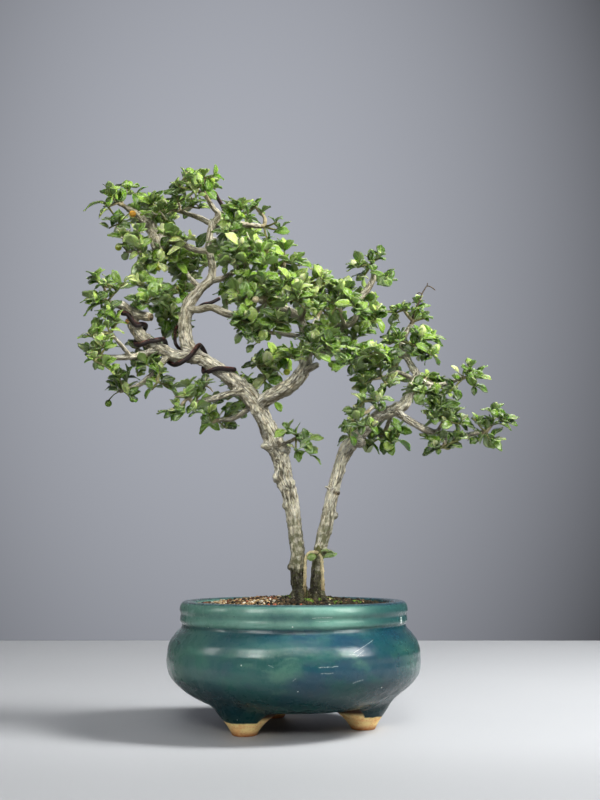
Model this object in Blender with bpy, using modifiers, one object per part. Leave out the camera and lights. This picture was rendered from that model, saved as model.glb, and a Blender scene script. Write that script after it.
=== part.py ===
"""Fukien tea bonsai in a glazed round pot: two leaning trunks, their limbs, wires and leafy sprays.

The pieces are built in millimetres about the pot's upright axis, with X to the right, Y away from the
viewer and Z up from the ground. The last step turns them to metres and sets the origin under the middle
of the whole.
"""

import math
import random

import bmesh
import bpy
from mathutils import Matrix, Vector
from mathutils.bvhtree import BVHTree

MM = 0.001
GAP = 0.3

# Pot: outer and inner radii with their heights, from the crest of the rim down and back up inside
POT_OUTSIDE = [
    (86.5, 97.5), (89.8, 95.2), (90.1, 83.5), (88.4, 79.5), (94, 73.8), (98.6, 64.5), (100, 53),
    (98.2, 42), (91.5, 33.5), (80.5, 25.6), (68, 19.8), (50, 16.8), (9, 16),
]
POT_INSIDE = [(9, 24), (58, 24), (78, 33), (92, 50), (90, 66), (80, 80), (79, 93), (81.6, 96.9)]
POT_STEPS = 32
FOOT_PROFILE = [(0, 24), (23, 24), (24, 17), (18.5, 12), (12.8, 6.5), (8.6, 0), (0, 0)]
FOOT_STEPS = 12
FOOT_R = 55.0
FOOT_ANGLES = (-41.6, 78.4, 198.4)
FOOT_FLARE_FROM = 5.0
FOOT_FLARE_TO = 17.0
POT_FLOOR = 8.0

# Mesh over the drainage hole and the soil
MESH_SIDE = 28.0
MESH_THICK = 0.8
MESH_HOLE = 8.0
MESH_PITCH = 10.5
SOIL_TOP = [(0, 99.6), (26, 98.8), (52, 96.4), (78.6, 93)]
SOIL_ROUGH = 0.7

# Root flares that stand in holes in the soil, each as middle, bottom, top and radius
FLARES = [(5, -2, 82, 103.5, 8.2), (18, -4, 82, 102.5, 8.0)]

# Leaves, twigs and berries
LEAF_LENGTH = (9.5, 16.0)
LEAF_WIDTH = (0.56, 0.70)
LEAF_THICK = 0.6
YOUNG_UNDER = 12.5
LEAF_SUNK = 1.2
LEAF_ROOM = 0.7
FORK_LEAF_EVERY = 4
LEAF_TRIES = 8
TURN = math.radians(137.5)
TWIG_TIP_R = 0.65
SPRAY_R = 1.9
LEAD = 3.5
BERRY_R = 3.3
WIRE_R = 2.0
TIE_R = 1.5

# Limbs, stubs and spurs: each point is X, Y, Z and the radius there
LIMBS = {
    "left_trunk": [(5, -2, 84, 6.9), (5, -2, 98, 5.5), (3, -1, 117, 5.7), (3, 0, 137, 5.7),
        (1, 2, 153, 5.7), (-1, 3, 169, 5.9), (-4, 4, 185, 6.5), (-8, 5, 195, 7.3), (-10, 5, 208, 6.7),
        (-14, 4, 220, 7.8), (-20, 3, 233, 7.3), (-24, 2, 242, 6.9), (-33, 0, 258, 7.3),
        (-46, -2, 271, 6.5), (-61, -3, 283, 5.6), (-77, -3, 293, 5.5), (-88, -3, 299, 5.3)],
    "leader": [(-79, -3, 294, 5.3), (-87, -1, 303, 5.8), (-90, 3, 317, 5.5), (-90, 5, 328, 5.4),
        (-88, 8, 340, 4.9), (-79, 10, 353, 4.1), (-70, 12, 363, 3.8), (-69, 12, 375, 3.3),
        (-72, 12, 388, 3.1), (-71, 12, 401, 2.9), (-69, 12, 411, 3.1)],
    "right_trunk": [(18, -4, 84, 6.8), (18, -4, 96, 5.8), (18, -4, 114, 4.7), (19, -3, 129, 4.5),
        (23, -2, 145, 5.3), (27, 0, 161, 5.7), (30, 2, 177, 5), (34, 4, 194, 4.9), (39, 5, 210, 5.1),
        (46, 5, 223, 5.9), (56, 4, 233, 5), (70, 2, 246, 5), (88, 0, 253, 4.8), (95, -2, 266, 3.7),
        (101, -4, 279, 3.5)],
    "right_limb": [(-29, 0, 254, 6.1), (-19, -4, 261, 6), (-3, -10, 269, 6.2), (7, -14, 280, 5.6),
        (10, -14, 291, 4.8), (9, -13, 302, 3.8), (8, -12, 315, 3.7), (3, -8, 326, 3.8),
        (-9, -4, 333, 3.9), (-18, 0, 338, 3.2), (-28, 4, 342, 2.4)],
    "left_limb": [(-77, -3, 293, 5.5), (-88, -7, 293, 5.1), (-99, -11, 294, 4.9),
        (-108, -14, 298, 5.3), (-116, -17, 302, 5.2), (-123, -20, 308, 5.2), (-128, -22, 315, 5),
        (-130, -24, 324, 4.4), (-137, -26, 331, 3.8), (-146, -27, 333, 2.8)],
    "knotted_limb": [(-72, 12, 388, 2.6), (-79, 12, 387, 2.6), (-88, 14, 390, 2.6),
        (-97, 18, 396, 2.8), (-109, 24, 400, 4.1), (-120, 28, 408, 5.3), (-128, 30, 418, 4.3),
        (-137, 32, 426, 3), (-146, 30, 431, 2.2)],
    "hanging_knot": [(-121, 28, 410, 5.4), (-117, 26, 398, 6.3), (-114, 22, 386, 6)],
    "side_arm": [(-70, 12, 361, 2.8), (-58, 8, 363, 2.5), (-47, 4, 369, 2.4), (-42, 0, 376, 2.4),
        (-37, -4, 386, 2.1)],
    "crown_right": [(-69, 12, 410, 2.9), (-54, 16, 412, 2.9), (-42, 20, 412, 2.6), (-29, 24, 412, 2)],
    "crown_up": [(-69, 12, 410, 2.6), (-64, 10, 418, 2.5), (-68, 8, 423, 2.3), (-73, 4, 430, 1.9)],
    "crown_left": [(-69, 12, 410, 2.5), (-82, 18, 418, 2.3), (-95, 24, 424, 1.9)],
    "crown_back": [(-71, 12, 392, 2.3), (-67, 36, 401, 2.2), (-60, 56, 411, 1.8)],
    "cross_limb": [(-90, 5, 335, 3.3), (-78, 4, 335, 3.2), (-68, 2, 336, 3.1), (-57, 0, 331, 3.2),
        (-44, -2, 328, 2.9), (-34, -4, 330, 2.6), (-27, -6, 334, 2.1)],
    "right_spread": [(8, -12, 315, 3.2), (20, -16, 316, 3), (33, -20, 315, 2.8), (46, -24, 317, 2.4),
        (51, -26, 326, 2.4), (53, -26, 336, 2.8), (60, -26, 346, 2.8), (64, -26, 354, 2.2),
        (63, -26, 362, 1.6)],
    "limb_front": [(5, -10, 321, 2.4), (8, -20, 330, 2.1), (3, -26, 336, 1.9), (-5, -30, 337, 1.6)],
    "limb_back": [(8, -13, 296, 2.4), (13, 20, 317, 2.3), (20, 42, 336, 1.9)],
    "limb_low": [(8, -12, 308, 2.2), (-6, -20, 309, 2.1), (-18, -26, 309, 1.7)],
    "spire": [(-9, -4, 333, 1.8), (-8, -2, 352, 1.5), (-8, 0, 371, 1.3)],
    "left_low": [(-109, -14, 297, 3), (-117, -20, 294, 2.8), (-127, -26, 290, 2.7),
        (-139, -32, 288, 2.3), (-149, -36, 288, 1.9)],
    "left_low_fork": [(-130, -28, 290, 1.9), (-135, -38, 296, 1.7), (-141, -42, 303, 1.5)],
    "left_droop": [(-98, -11, 296, 2.7), (-107, -15, 286, 2.6), (-114, -14, 277, 2.5), (-125, -8, 270, 2.1),
        (-136, -2, 267, 1.7)],
    "left_top": [(-129, -22, 324, 2.4), (-125, -12, 336, 2.1), (-120, -6, 344, 1.7)],
    "inner_left": [(-89, 4, 326, 2.4), (-99, 18, 337, 2.1), (-105, 26, 344, 1.7)],
    "leader_left": [(-78, 10, 354, 2.5), (-88, 24, 366, 2.1), (-93, 34, 375, 1.7)],
    "low_front": [(-39, -1, 265, 2.9), (-53, -10, 262, 2.7), (-65, -18, 257, 2.5), (-76, -26, 253, 2)],
    "low_back": [(-33, 0, 255, 2.6), (-42, 8, 249, 2.3), (-51, 16, 245, 2.1), (-62, 24, 245, 1.7)],
    "low_far": [(-25, 2, 244, 2.6), (-35, 26, 259, 2.3), (-45, 46, 269, 1.9)],
    "inner_low": [(-8, -8, 266, 2.4), (-14, 8, 280, 2.1), (-19, 18, 290, 1.7)],
    "trunk_shoot": [(-11, 4, 221, 2.6), (-5, -6, 223, 2.1), (0, -12, 225, 1.6)],
    "pocket": [(10, -13, 295, 2.4), (21, -20, 295, 2.1), (35, -26, 294, 1.7)],
    "right_branch": [(83, 0, 249, 3.6), (94, -8, 240, 3), (107, -14, 232, 3.1), (122, -20, 226, 2.9),
        (135, -25, 227, 2.2), (148, -28, 229, 1.8)],
    "right_branch_up": [(113, -17, 229, 1.9), (117, -22, 235, 1.6)],
    "right_up": [(101, -4, 278, 3.1), (95, 2, 290, 2.9), (90, 8, 303, 2.8), (92, 12, 314, 2.5),
        (98, 14, 324, 1.9)],
    "right_out": [(100, -3, 276, 2.4), (111, -12, 269, 2.1), (121, -18, 269, 1.9), (132, -24, 272, 1.5)],
    "right_in": [(98, -3, 275, 2.1), (84, -8, 280, 1.8), (74, -12, 276, 1.4)],
    "right_back": [(96, -2, 268, 2.3), (102, 24, 274, 2.1), (106, 42, 278, 1.8)],
    "elbow_front": [(77, 2, 248, 2.4), (66, -8, 252, 2), (59, -16, 247, 1.6)],
    "arching_shoot": [(7, -3, 98, 1.3), (9, -11, 108, 1.2), (9, -11, 124, 1.1), (12, -11, 132, 1.1),
        (17, -11, 135, 1.1), (22, -11, 129, 1.1), (23, -11, 117, 1.2), (23, -11, 106, 1.2),
        (21, -6, 96, 1.3)],
    "elbow_back": [(82, 0, 250, 2.3), (79, 14, 244, 2), (77, 24, 238, 1.7)],
}
STUBS = {
    "limb_stub": [(7, -14, 280, 2.9), (14, -19, 282, 2.8), (19, -22, 284, 2.5)],
    "wired_stub": [(-129, -24, 326, 3.9), (-122, -28, 323, 3.6), (-115, -31, 321, 3.6)],
    "right_stub": [(49, 5, 225, 4.1), (55, -3, 223, 4)],
    "trunk_stub": [(-12, 4, 220, 4.1), (-26, 2, 221, 2)],
    "thorn": [(32, 3, 186, 2.1), (25, 0, 188, 1)],
    "low_stub": [(20, -3, 138, 2.4), (30, -9, 135, 2.1)],
}
SPURS = {
    "shelf_mid": [(-53, 16, 412, 1.8), (-49, 4, 414, 1.5)],
    "knot_top": [(-124, 28, 413, 2.2), (-125, 44, 425, 1.7)],
    "cheek_right": [(41, -22, 315, 1.9), (38, -36, 321, 1.6)],
    "cheek_low": [(37, -21, 314, 1.9), (42, -14, 307, 1.6)],
    "tower_mid": [(52, -26, 331, 1.7), (58, -16, 330, 1.4)],
    "left_mid": [(-121, -22, 292, 1.7), (-126, -12, 298, 1.4)],
    "droop_mid": [(-113, -14, 279, 1.9), (-109, -22, 272, 1.5)],
    "pocket_left": [(19, -19, 296, 1.7), (21, -28, 300, 1.4)],
    "collar": [(90, 7, 301, 2), (97, 0, 303, 1.6)],
    "collar_back": [(93, 4, 294, 1.9), (89, 18, 298, 1.6)],
    "arm_low": [(110, -11, 270, 1.8), (109, -16, 264, 1.4)],
    "foot_leaf": [(16, -11, 135, 1), (18, -14, 138, 0.9)],
    "branch_low": [(121, -20, 226, 2.1), (119, -24, 220, 1.6)],
}

# Sprays: the limb or spur whose end each goes on from, and its tufts from near to far
SPRAYS = {
    "crown": ("crown_up", [(-82, -4, 435), (-86, -8, 444), (-76, 4, 448), (-71, 16, 445),
        (-95, -14, 434), (-98, 6, 428)]),
    "shelf": ("crown_left", [(-105, 24, 427), (-114, 14, 422), (-125, 30, 432), (-91, 38, 434),
        (-123, 42, 425)]),
    "tip_left": ("knotted_limb", [(-152, 24, 433), (-159, 20, 428), (-154, 10, 434), (-145, 34, 449),
        (-138, 46, 445), (-148, 14, 411)]),
    "hang": ("hanging_knot", [(-121, 10, 377), (-129, 4, 385), (-141, 16, 387), (-143, 6, 396),
        (-129, -4, 397), (-100, 0, 395)]),
    "roof": ("crown_right", [(-28, 30, 425), (-33, 22, 429), (-44, 26, 423), (-15, 18, 414),
        (-11, 30, 410), (-22, 16, 398)]),
    "eaves": ("side_arm", [(-33, -16, 378), (-21, -24, 378), (-25, -34, 363), (-39, -22, 365),
        (-46, -30, 374), (-54, -16, 370)]),
    "spire": ("spire", [(-8, 2, 385), (-2, -10, 370), (5, 4, 372), (-17, 10, 368), (-4, 20, 366)]),
    "leader_left": ("leader_left", [(-99, 40, 385), (-105, 28, 382), (-88, 50, 391), (-98, 52, 375),
        (-77, 44, 384)]),
    "cheek": ("cross_limb", [(-23, -16, 340), (-34, -26, 339), (-44, -34, 334), (-25, -30, 348),
        (-51, -10, 348), (-14, -20, 346)]),
    "inner": ("right_limb", [(-37, 16, 351), (-48, 26, 360), (-28, 30, 365), (-59, 34, 353),
        (-19, 42, 359)]),
    "brow": ("limb_front", [(-8, -42, 343), (3, -48, 344), (13, -40, 346), (22, -46, 347),
        (14, -54, 331), (2, -60, 328)]),
    "back_mid": ("limb_back", [(24, 54, 347), (16, 60, 358), (33, 66, 341), (7, 62, 342), (42, 50, 345)]),
    "shelf_low": ("limb_low", [(-25, -34, 305), (-30, -40, 313), (-39, -32, 310), (-42, -44, 316),
        (-15, -44, 314)]),
    "tower": ("right_spread", [(62, -22, 370), (68, -30, 369), (51, -32, 361), (57, -16, 358),
        (73, -36, 349)]),
    "left_top": ("left_top", [(-119, -2, 353), (-111, -14, 345), (-130, 4, 355), (-108, 8, 342),
        (-117, -26, 333)]),
    "left_end": ("left_limb", [(-152, -30, 337), (-158, -36, 334), (-153, -22, 348), (-158, -30, 351),
        (-140, -34, 342), (-146, -42, 323)]),
    "nook": ("inner_left", [(-111, 22, 340), (-107, 14, 328), (-100, 24, 323), (-105, 38, 356),
        (-95, 42, 359)]),
    "fan": ("left_low_fork", [(-145, -46, 309), (-138, -42, 315), (-154, -40, 309), (-155, -50, 300),
        (-146, -34, 321)]),
    "claw": ("left_low", [(-154, -40, 291), (-162, -36, 292), (-155, -48, 283), (-146, -54, 295),
        (-147, -46, 279), (-147, -22, 298)]),
    "droop": ("left_droop", [(-144, 10, 267), (-147, 2, 269), (-133, -4, 260), (-139, 10, 278),
        (-141, -12, 275)]),
    "front_low": ("low_front", [(-83, -32, 256), (-82, -28, 266), (-90, -38, 245), (-96, -32, 241),
        (-76, -44, 243), (-69, -36, 265)]),
    "back_low": ("low_back", [(-69, 28, 242), (-57, 34, 239), (-51, 30, 252), (-78, 36, 253),
        (-67, 40, 261)]),
    "far_low": ("low_far", [(-52, 54, 278), (-40, 60, 281), (-58, 60, 267), (-45, 58, 256),
        (-34, 64, 269)]),
    "belly": ("inner_low", [(-27, 22, 294), (-30, 10, 288), (-15, 28, 300), (-23, 14, 279),
        (-3, 26, 298)]),
    "trunk": ("trunk_shoot", [(3, -18, 227), (-5, -22, 231), (10, -24, 222), (11, -14, 215),
        (2, -22, 214)]),
    "pocket": ("pocket", [(45, -32, 294), (54, -24, 291), (65, -38, 291), (46, -36, 282), (75, -30, 288)]),
    "right_end": ("right_branch", [(156, -30, 235), (159, -26, 245), (164, -36, 237), (144, -38, 234),
        (145, -26, 222), (155, -36, 220)]),
    "right_pad": ("right_branch_up", [(119, -26, 242), (110, -36, 239), (128, -20, 243),
        (115, -32, 248), (130, -34, 235)]),
    "tuft_top": ("right_up", [(101, 16, 334), (105, 20, 344), (91, 6, 335), (84, 14, 333), (108, 8, 328)]),
    "arm": ("right_out", [(138, -28, 273), (148, -24, 273), (139, -36, 279), (125, -32, 262),
        (141, -40, 263)]),
    "shoulder": ("right_in", [(63, -16, 273), (56, -24, 268), (54, -8, 279), (69, -22, 283),
        (76, -26, 265)]),
    "far_right": ("right_back", [(114, 52, 285), (125, 56, 279), (106, 58, 270), (96, 60, 283),
        (133, 50, 271)]),
    "elbow": ("elbow_front", [(51, -22, 246), (46, -30, 238), (55, -30, 253), (66, -38, 253),
        (60, -36, 233), (44, -26, 225)]),
    "elbow_back": ("elbow_back", [(77, 30, 232), (81, 22, 225), (69, 38, 236), (88, 34, 236),
        (64, 28, 225)]),
    "back_top": ("crown_back", [(-54, 66, 421), (-44, 72, 416), (-65, 72, 427), (-56, 74, 403),
        (-71, 80, 407), (-43, 62, 398)]),
    "shelf_mid": ("shelf_mid", [(-48, -4, 416), (-54, -8, 396), (-45, -4, 392), (-60, 0, 386)]),
    "knot_top": ("knot_top", [(-128, 56, 433), (-118, 60, 427), (-140, 62, 427), (-131, 50, 438)]),
    "cheek_right": ("cheek_right", [(35, -44, 329), (44, -50, 330), (30, -36, 340), (41, -40, 341),
        (48, -52, 319)]),
    "cheek_low": ("cheek_low", [(49, -8, 307), (36, -4, 304), (57, -10, 313), (29, -14, 307)]),
    "tower_mid": ("tower_mid", [(64, -10, 330), (66, -16, 322), (59, -2, 321), (54, -4, 341)]),
    "left_mid": ("left_mid", [(-132, -6, 301), (-123, 2, 304), (-117, -4, 289), (-130, 2, 290)]),
    "droop_mid": ("droop_mid", [(-103, -16, 269), (-113, -20, 264), (-107, -22, 278), (-118, -24, 284),
        (-98, -10, 265)]),
    "pocket_left": ("pocket_left", [(19, -34, 305), (27, -40, 296), (14, -38, 293), (32, -26, 305)]),
    "collar": ("collar", [(103, -4, 308), (112, 4, 309), (106, -8, 297), (85, -10, 306)]),
    "collar_back": ("collar_back", [(83, 26, 298), (76, 34, 294), (88, 36, 293), (98, 30, 305)]),
    "arm_low": ("arm_low", [(104, -22, 260), (113, -20, 257), (119, -10, 251), (97, -8, 264)]),
    "foot_leaf": ("foot_leaf", [(21, -16, 136)]),
    "branch_low": ("branch_low", [(113, -30, 216), (110, -14, 223), (124, -20, 217), (128, -36, 222)]),
}

# Berries by spray, and the path of the thin wire
BERRIES = {
    "crown": [(-70, 10, 448)],
    "tip_left": [(-136, 8, 418)],
    "hang": [(-113, 2, 370), (-148, 12, 390)],
    "cheek": [(-30, -40, 333)],
    "nook": [(-111, 4, 326)],
    "droop": [(-153, 10, 257), (-132, 4, 260)],
    "belly": [(-6, 14, 284)],
    "pocket": [(30, -30, 283)],
}
TIE = [(-84, 6, 290), (-89, 6, 297), (-94, 2, 301), (-97, -2, 305), (-98, 2, 312), (-98, 10, 320),
    (-90, 14, 329), (-83, 13, 336), (-76, 9, 340), (-69, 6, 341), (-62, 4, 344)]

# Where the coiled wire crosses the front of its limb: X of the limb's axis and whole turns made by then
COIL_STATIONS = [(-53, -0.22), (-61, 0), (-86, 1), (-118, 2), (-129, 3), (-136, 3.22)]

SCRAP = bpy.data.collections.new("scrap")


def new_mesh(name, points, faces, edges=()):
    """A mesh of these points and faces."""
    mesh = bpy.data.meshes.new(name)
    mesh.from_pydata([tuple(p) for p in points], list(edges), list(faces))
    mesh.validate()
    return mesh


def placed(name, mesh, collection):
    """An object of this mesh in the collection."""
    obj = bpy.data.objects.new(name, mesh)
    collection.objects.link(obj)
    return obj


def tidied(mesh):
    """The mesh with doubled points merged and its faces turned outwards."""
    work = bmesh.new()
    work.from_mesh(mesh)
    bmesh.ops.remove_doubles(work, verts=work.verts, dist=0.0001)
    bmesh.ops.recalc_face_normals(work, faces=work.faces)
    work.to_mesh(mesh)
    work.free()
    return mesh


def frozen(obj):
    """The mesh that an object's modifiers or bevel give; the object is removed."""
    bpy.context.view_layer.update()
    graph = bpy.context.evaluated_depsgraph_get()
    mesh = bpy.data.meshes.new_from_object(obj.evaluated_get(graph))
    bpy.data.objects.remove(obj)
    return mesh


def turned(name, profile, steps, ring=False):
    """A profile of radii and heights, top to bottom, turned about Z; a ring closes on itself."""
    count = len(profile)
    edges = [(i, i + 1) for i in range(count - 1)] + ([(count - 1, 0)] if ring else [])
    obj = placed(name, new_mesh(name, [(r, 0, z) for r, z in profile], [], edges), SCRAP)
    screw = obj.modifiers.new("turn", "SCREW")
    screw.steps = screw.render_steps = steps
    screw.use_merge_vertices = True
    screw.merge_threshold = 0.0001
    return tidied(frozen(obj))


def tube(name, path, sides):
    """A tube of four to twelve sides along points with a radius each, its ends flat."""
    curve = bpy.data.curves.new(name, "CURVE")
    curve.dimensions = "3D"
    curve.bevel_depth = 1.0
    curve.bevel_resolution = sides // 2 - 2
    curve.use_fill_caps = True
    spline = curve.splines.new("POLY")
    spline.points.add(len(path) - 1)
    for point, (x, y, z, r) in zip(spline.points, path):
        point.co = (x, y, z, 1)
        point.radius = r
    obj = bpy.data.objects.new(name, curve)
    SCRAP.objects.link(obj)
    mesh = frozen(obj)
    bpy.data.curves.remove(curve)
    return tidied(mesh)


def combined(name, meshes, operation="UNION", solver="EXACT"):
    """The first mesh joined with, or cut by, all the others in one Boolean."""
    group = bpy.data.collections.new(name + " parts")
    SCRAP.children.link(group)
    for index, mesh in enumerate(meshes[1:]):
        placed(f"{name} {index}", mesh, group)
    obj = placed(name, meshes[0], SCRAP)
    boolean = obj.modifiers.new("join", "BOOLEAN")
    boolean.operation = operation
    boolean.solver = solver
    boolean.operand_type = "COLLECTION"
    boolean.collection = group
    result = frozen(obj)
    for other in list(group.objects):
        bpy.data.objects.remove(other)
    bpy.data.collections.remove(group)
    return result


def cylinder(name, x, y, low, high, radius, steps):
    """An upright cylinder."""
    mesh = turned(name, [(0, high), (radius, high), (radius, low), (0, low)], steps)
    mesh.transform(Matrix.Translation((x, y, 0)))
    return mesh


class Clear:
    """Meshes that nothing else may cross, each with its bounding box and search tree."""

    def __init__(self):
        self.kept = []

    def add(self, mesh, owner):
        points = [v.co.copy() for v in mesh.vertices]
        faces = [tuple(p.vertices) for p in mesh.polygons]
        low = Vector(min(p[i] for p in points) for i in range(3))
        high = Vector(max(p[i] for p in points) for i in range(3))
        self.kept.append((owner, low, high, BVHTree.FromPolygons(points, faces)))

    def crossed(self, mesh, owner):
        """Whether the mesh crosses one kept under another name."""
        points = [v.co.copy() for v in mesh.vertices]
        faces = [tuple(p.vertices) for p in mesh.polygons]
        low = Vector(min(p[i] for p in points) for i in range(3))
        high = Vector(max(p[i] for p in points) for i in range(3))
        tree = BVHTree.FromPolygons(points, faces)
        for name, other_low, other_high, other in self.kept:
            if name == owner or any(high[i] < other_low[i] or low[i] > other_high[i] for i in range(3)):
                continue
            if tree.overlap(other):
                return True
        return False


def foot(angle):
    """A turned foot whose flare follows the underside of the pot, its middle at an angle from the front."""
    mesh = turned("foot", FOOT_PROFILE, FOOT_STEPS)
    a = math.radians(angle)
    x, y = FOOT_R * math.sin(a), -FOOT_R * math.cos(a)
    middle = underside(FOOT_R)
    for vertex in mesh.vertices:
        at = Vector((vertex.co.x + x, vertex.co.y + y, vertex.co.z))
        share = (at.z - FOOT_FLARE_FROM) / (FOOT_FLARE_TO - FOOT_FLARE_FROM)
        share = min(max(share, 0.0), 1.0)
        at.z += share * (underside(math.hypot(at.x, at.y)) - middle)
        if vertex.co.z > 20:
            at.z = underside(math.hypot(at.x, at.y)) + POT_FLOOR / 2
        vertex.co = at
    return mesh


def underside(radius):
    """The height of the pot's outside below its belly, at a distance from the axis."""
    low = [p for p in POT_OUTSIDE if p[1] <= 53]
    for (r1, z1), (r2, z2) in zip(low, low[1:]):
        if r2 <= radius <= r1:
            return z2 + (z1 - z2) * (radius - r2) / (r1 - r2)
    return low[-1][1] if radius < low[-1][0] else low[0][1]


def pot():
    """The thrown pot with its drainage hole, on three feet."""
    shell = turned("pot", POT_OUTSIDE + POT_INSIDE, POT_STEPS, ring=True)
    return combined("pot", [shell] + [foot(angle) for angle in FOOT_ANGLES])


def drain_mesh():
    """A square of plastic mesh with four openings, lying over the drainage hole."""
    low = POT_INSIDE[0][1] + GAP
    plate = box(0, 0, low, MESH_SIDE, MESH_THICK, 0)
    holes = [
        box(MESH_PITCH * i, MESH_PITCH * j, low, MESH_HOLE, MESH_THICK, 1)
        for i in (-0.5, 0.5)
        for j in (-0.5, 0.5)
    ]
    return combined("drain_mesh", [plate] + holes, "DIFFERENCE")


def box(x, y, low, side, height, past):
    """A square block on a level, reaching past it at both ends."""
    work = bmesh.new()
    bmesh.ops.create_cube(work, size=1)
    bmesh.ops.scale(work, vec=(side, side, height + 2 * past), verts=work.verts)
    bmesh.ops.translate(work, vec=(x, y, low + height / 2), verts=work.verts)
    mesh = bpy.data.meshes.new("box")
    work.to_mesh(mesh)
    work.free()
    return mesh


def soil():
    """The soil that fills the pot, mounded and grainy, hollow over the mesh and holed for the roots."""
    floor = POT_INSIDE[0][1] + GAP
    recess = floor + MESH_THICK + GAP
    wall = [(r - GAP, z + GAP * (0.5 if z < 60 else -0.5)) for r, z in POT_INSIDE[2:7]]
    reach = MESH_SIDE * 0.5**0.5 + 1
    low = [(57.4, floor), (reach, floor), (reach, recess), (0, recess)]
    mesh = turned("soil", SOIL_TOP + wall[::-1][1:] + low, POT_STEPS)
    for vertex in mesh.vertices:
        x, y, z = vertex.co
        radius = math.hypot(x, y)
        if z > 93.5 and 17 < radius < 78:
            wave = math.sin(1.9 * x + 0.7 * y) + math.sin(0.8 * x - 1.7 * y) + math.sin(1.3 * (x + y))
            vertex.co.z += SOIL_ROUGH * wave / 2
    holes = [cylinder("hole", x, y, low - GAP, 110, r + 2 * GAP, 16) for x, y, low, _, r in FLARES]
    return combined("soil", [mesh] + holes, "DIFFERENCE")


def wood():
    """Both trunks with every limb, stub and spur, grown as one from the roots."""
    flares = [
        tube("flare", [(x, y, low, r * 0.98), (x, y, high - 5, r), (x, y, high, r * 0.72)], 8)
        for x, y, low, high, r in FLARES
    ]
    pieces = flares
    for name, path in {**LIMBS, **STUBS, **SPURS}.items():
        thick = max(r for _, _, _, r in path)
        pieces.append(tube(name, path, 8 if thick > 4 else 6 if thick > 2.7 else 4))
    return combined("wood", pieces, solver="MANIFOLD")


def along(path, x):
    """The point, direction and radius where a path first reaches this X, going left."""
    for a, b in zip(path, path[1:]):
        if b[0] <= x <= a[0]:
            share = (a[0] - x) / (a[0] - b[0])
            at = Vector(a[:3]).lerp(Vector(b[:3]), share)
            return at, (Vector(b[:3]) - Vector(a[:3])).normalized(), a[3] + (b[3] - a[3]) * share
    return Vector(path[-1][:3]), (Vector(path[-1][:3]) - Vector(path[-2][:3])).normalized(), path[-1][3]


def held_off(point, need):
    """The point moved out of any limb until it is this far from its bark."""
    for _ in range(40):
        moved = False
        for path in [*LIMBS.values(), *STUBS.values(), *SPURS.values()]:
            for a, b in zip(path, path[1:]):
                start, step = Vector(a[:3]), Vector(b[:3]) - Vector(a[:3])
                share = min(max((point - start).dot(step) / step.length_squared, 0.0), 1.0)
                away = point - (start + step * share)
                short = need + a[3] + (b[3] - a[3]) * share - away.length
                if short > 0.01:
                    point = point + away.normalized() * short
                    moved = True
        if not moved:
            break
    return point


def coil():
    """The thick wire, wound outwards along the left limb."""
    path = LIMBS["left_trunk"][12:16] + LIMBS["left_limb"]
    points = []
    steps = 12
    for (x1, t1), (x2, t2) in zip(COIL_STATIONS, COIL_STATIONS[1:]):
        count = max(round(steps * (t2 - t1)), 2)
        for i in range(count + (x2 == COIL_STATIONS[-1][0])):
            share = i / count
            at, way, radius = along(path, x1 + (x2 - x1) * share)
            turn = 2 * math.pi * (t1 + (t2 - t1) * share)
            front = (Vector((0, -1, 0)) - way * -way.y).normalized()
            down = front.cross(way)
            down = -down if down.z > 0 else down
            out = radius + WIRE_R + GAP + 0.4
            points.append(at + (front * math.cos(turn) + down * math.sin(turn)) * out)
    points = [held_off(p, WIRE_R + GAP + 0.6) for p in points]
    return tube("coil_wire", [(*p, WIRE_R) for p in points], 6)


def tie():
    """The thin wire from the limb, over it and up behind the leader."""
    points = [held_off(Vector(p), TIE_R + GAP + 0.3) for p in TIE]
    return tube("tie_wire", [(*p, TIE_R) for p in points], 6)


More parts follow.
